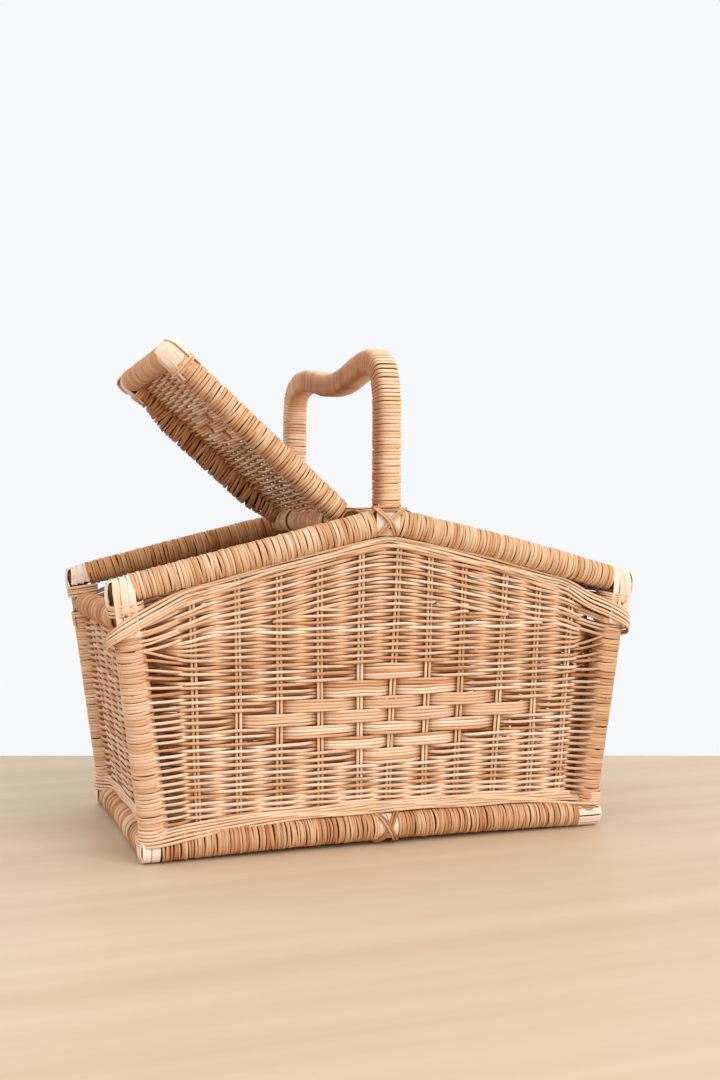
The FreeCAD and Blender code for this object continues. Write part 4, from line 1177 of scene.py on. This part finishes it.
LOOPS = {"left": (-50.0, 50.0), "right": (-38.0, 38.0)}
for side, tip, flip in (("left", -LID_REST_OPEN, True), ("right", LID_CLOSED, False)):
    at = LidPlace(tip, flip, 0.225 if flip else 0.0)
    body = "lid_" + side
    seed = 600 if side == "left" else 700
    # poles
    ends = np.linspace(-1, 1, 13)
    k = Kit()
    core(k, at(0, ends * (LID_HALF - 0.3), 0), 7.4, ref=at.up)
    k.make("%s_hinge_pole" % side, M_POLE, body, "pole", ["%s_lid_hinge_rail" % side])
    k = Kit()
    core(k, at(LID_LEN, ends * (LID_HALF - 0.3), 0), 7.4, ref=at.up)
    k.make("%s_outer_pole" % side, M_POLE, body, "pole", ["%s_lid_outer_rail" % side])
    k = Kit()
    us = np.linspace(9.6, LID_LEN - 9.6, 13)
    for s in (-1, 1):
        core(k, at(us, s * LID_SIDE_Y, 0), 7.4, ref=at.up)
    k.make("%s_side_poles" % side, M_POLE, body, "pole", ["%s_lid_side_rails" % side])
    # wraps
    k = Kit()
    f, L, _ = rail(at(0, np.linspace(-LID_HALF, LID_HALF, 25), 0))
    wrap(k, f, 0.4, L - 0.4, 2.5, 8.45, rn=1.0, ref=at.up, slant=0.8, seed=seed + 1,
         tone=(0.2, 0.8), jit=0.15, drift=0.4)
    f, L, _ = rail(at(LID_LEN, np.linspace(-LID_SIDE_Y + 8.3, LID_SIDE_Y - 8.3, 25), 0))
    wrap(k, f, 0.2, L - 0.2, 2.9, 8.45, rn=1.0, ref=at.up, slant=0.8, seed=seed + 2,
         tone=(0.2, 0.7), jit=0.15)
    for s in (-1, 1):
        far = s > 0
        sag = 1.0 if far and side == "left" else 0.0
        uu = np.linspace(9.6, 168.0, 33)

        def hang(u, sag=sag):
            return sag * smooth((u - 12) / 30) * (1 - smooth((u - 130) / 26))

        f, L, _ = rail(at(uu, s * LID_SIDE_Y, -2.6 * hang(uu)))
        # painted shade on the underside of the side rail wraps; the far rail takes a lower tone, also painted shade
        wrap(k, f, 0.2, L, 2.6, lambda q: 8.75 + 1.9 * hang(q + 9.6), rn=1.05, ref=at.up, slant=(2.2 if far else -0.7 * s), seed=seed + 4 + s,
             tone=(0.1, 0.75) if far else (0.35, 0.95), jit=0.25 if far else 0.18, gap=0.03,
             drift=0.9 if far else 0.3, bulge=0.35 if far else 0.3, shade=(-at.up, 0.45))
    k.make("%s_lid_wraps" % side, M_WRAP, body, "wrap_cane", ["%s_lid_rail_wraps" % side])
    # splints over the outer corners, bound where they start
    k = Kit()
    kb = Kit()
    for s in (-1, 1):
        # over the corner, top to underside
        for j in (-1, 0, 1):
            yc = s * LID_SIDE_Y + j * 5.3
            R = 8.2
            pts = [(at(u, yc, R)) for u in (160.0, 166.0, 173.0)]
            pts += [at(LID_LEN + R * math.sin(a), yc, R * math.cos(a)) for a in np.radians(np.linspace(0, 180, 9))]
            pts += [(at(u, yc, -R)) for u in (173.0, 166.0, 160.0)]
            P = spline(np.array(pts), 56)
            cen = at(np.clip(((P - at(0, 0, 0)) @ at.along), 0, LID_LEN), P[:, 1], 0)
            k.tubes(P, 0.55, 2.55, ref=unit(P - cen), sec=SPLINT, tone=np.array([rng.uniform(0.4, 0.9)]))
        # along the outer face of the side rail and round its end
        for ph in np.radians([-57, -19, 19, 57]):
            c_, s_ = math.cos(ph), math.sin(ph)
            pts = [(160.0, LID_SIDE_Y + 8.0 * c_, 8.0 * s_), (167.0, LID_SIDE_Y + 8.7 * c_, 8.7 * s_),
                   (175.0, LID_SIDE_Y + 9.7 - 0.4 * (1 - c_), 9.2 * s_), (183.0, LID_SIDE_Y + 9.9, 8.8 * s_),
                   (187.4, LID_SIDE_Y + 8.2, 7.6 * s_), (189.2, LID_SIDE_Y + 3.5, 6.4 * s_)]
            P = spline(np.array([at(u_, s * y_, w_) for u_, y_, w_ in pts]), 34)
            cen = at(np.clip(((P - at(0, 0, 0)) @ at.along) - 4, 0, LID_LEN - 4), s * LID_SIDE_Y + 0 * P[:, 1], 0)
            k.tubes(P, 0.55, 3.1, ref=unit(P - cen), sec=SPLINT, tone=np.array([rng.uniform(0.75, 1.0)]))
        f, L, _ = rail(at(np.linspace(158.0, 176.0, 9), s * LID_SIDE_Y, 0))
        wrap(kb, f, 7.0, 13.5, 2.1, 9.7, rn=1.0, ref=at.up, slant=0.6, seed=seed + 8 + s,
             tone=(0.4, 0.9), drift=0.5, shape=2.6)
    k.make("%s_lid_splints" % side, M_SPLINT, body, "splint", ["%s_lid_corner_straps" % side])
    kb.make("%s_lid_bindings" % side, M_WRAP, body, "wrap_cane")
    # weave
    kw, ks = Kit(), Kit()
    # the lid weave carries painted shadow of the side rails along its edges
    woven_sheet(kw, ks, (10.0, LID_LEN - 10.0), 80.0, 5, 29.0, Raised(at, 3.4), seed + 20, z_amp=1.75,
                bundles=[(31, 35, 0), (35, 39, 1), (39, 43, 2), (43, 47, 1), (47, 51, 0)],
                oval=1.42, rail_shadow=0.45, tone_mu=0.5, notch=(12.9, LOOPS[side], 6.4))
    kw.make("%s_lid_weavers" % side, M_LIDWEAVE, body, "weaver_cane", ["%s_lid_weave" % side])
    ks.make("%s_lid_rods" % side, M_STAKE, body, "stake_cane", ["%s_lid_stakes" % side])
    # hinge loops, fast on the ridge rail
    k = Kit()
    s = -1.0 if flip else 1.0
    for ly in LOOPS[side]:
        for off in (-3.3, -1.1, 1.1, 3.3):
            Rr, Rh = 9.9, 10.75
            th = math.acos((Rr - Rh) / HINGE_X)
            a1 = np.linspace(th, 2 * np.pi - th, 16)
            a2 = np.linspace(-th, th, 16)
            ring = [(Rr * math.cos(a), Rr * math.sin(a)) for a in a1]
            ring += [(HINGE_X + Rh * math.cos(a), Rh * math.sin(a)) for a in a2]
            ring = np.array(ring)
            cen = np.array([(np.clip(p[0], 0, HINGE_X), 0) for p in ring])
            P = np.stack([s * ring[:, 0], np.full(len(ring), ly + off) + 0.25 * np.sin(np.arange(len(ring)) / 5.0),
                          HINGE_Z + ring[:, 1]], 1)
            rad = np.stack([s * (ring[:, 0] - cen[:, 0]), 0 * ring[:, 0], ring[:, 1]], 1)
            k.tubes(P[None], 0.72, 1.05, ref=unit(rad)[None], closed=True, sec=ROUND8,
                    tone=np.array([rng.uniform(0.35, 0.8)]))
    k.make("hinge_loops_%s_cane" % side, M_WRAP, "basket", "wrap_cane", ["hinge_loops_" + side])

# ---------------------------------------------------------------- floor, light, camera
YAW, PITCH_DEG = math.radians(-19.40), 1.24
CAM = Vector((-0.3466, -1.0376, 0.2491))


def stage_material():
    m = bpy.data.materials.new("pale_floor")
    m.use_nodes = True
    nt = m.node_tree
    p = nt.nodes["Principled BSDF"]
    tc = nt.nodes.new("ShaderNodeTexCoord")
    mp = nt.nodes.new("ShaderNodeMapping")
    mp.inputs["Scale"].default_value = (1.2, 22.0, 1.0)
    nt.links.new(tc.outputs["Object"], mp.inputs["Vector"])
    n = nt.nodes.new("ShaderNodeTexNoise")
    n.inputs["Scale"].default_value = 1.0
    n.inputs["Detail"].default_value = 6.0
    nt.links.new(mp.outputs[0], n.inputs["Vector"])
    r = nt.nodes.new("ShaderNodeValToRGB")
    r.color_ramp.elements[0].position, r.color_ramp.elements[0].color = 0.3, lin("#C9B194")
    r.color_ramp.elements[1].position, r.color_ramp.elements[1].color = 0.7, lin("#D6C2A6")
    nt.links.new(n.outputs["Fac"], r.inputs[0])
    nt.links.new(r.outputs[0], p.inputs["Base Color"])
    p.inputs["Roughness"].default_value = 0.55
    return m


me = bpy.data.meshes.new("floor_plane")
fw = Vector((math.sin(-YAW), math.cos(YAW), 0))
rt = Vector((fw.y, -fw.x, 0))
c0 = Vector((CAM.x, CAM.y, 0))
far, near, wide = 1.355, -6.0, 6.0
corners = [c0 + fw * near - rt * wide, c0 + fw * near + rt * wide, c0 + fw * far + rt * wide,
           c0 + fw * far - rt * wide]
me.from_pydata([tuple(c) for c in corners], [], [(0, 1, 2, 3)])
me.materials.append(stage_material())
floor = bpy.data.objects.new("floor_plane", me)
bpy.context.scene.collection.objects.link(floor)

world = bpy.data.worlds.new("studio")
bpy.context.scene.world = world
world.use_nodes = True
bg = world.node_tree.nodes["Background"]
bg.inputs["Color"].default_value = (0.93, 0.94, 0.96, 1)
bg.inputs["Strength"].default_value = 1.0


def area(name, loc, target, size, power, color=(1, 1, 1)):
    ld = bpy.data.lights.new(name, "AREA")
    ld.shape = "RECTANGLE"
    ld.size, ld.size_y = size
    ld.energy = power
    ld.color = color
    ob = bpy.data.objects.new(name, ld)
    bpy.context.scene.collection.objects.link(ob)
    ob.location = loc
    d = Vector(target) - Vector(loc)
    ob.rotation_mode = "QUATERNION"
    ob.rotation_quaternion = d.to_track_quat("-Z", "Y")
    return ob


area("key", (2.2, -5.4, 3.5), (0, 0, 0.15), (4.0, 4.0), 232.0, (1.0, 0.965, 0.92))
area("top", (0.0, -0.5, 3.2), (0, 0, 0), (4.5, 4.5), 14.0, (1.0, 0.98, 0.95))
area("fill", (-2.6, -0.9, 1.6), (-0.2, 0, 0.0), (2.0, 2.0), 9.0, (1.0, 0.98, 0.95))

cd = bpy.data.cameras.new("camera")
cam = bpy.data.objects.new("camera", cd)
bpy.context.scene.collection.objects.link(cam)
cam.location = CAM
e = math.radians(PITCH_DEG)
back = Vector((math.sin(YAW) * math.cos(e), -math.cos(YAW) * math.cos(e), math.sin(e)))
cam.rotation_mode = "QUATERNION"
cam.rotation_quaternion = (-back).to_track_quat("-Z", "Y")
cd.sensor_width = 36.0
cd.lens = 1335.5 / 1080 * 36.0
cd.clip_start, cd.clip_end = 0.05, 50.0
bpy.context.scene.camera = cam
bpy.context.scene.view_settings.view_transform = "Standard"

print("TRIS", sum(COUNTS.values()), {k_: v_ for k_, v_ in COUNTS.items() if v_ > 60000})
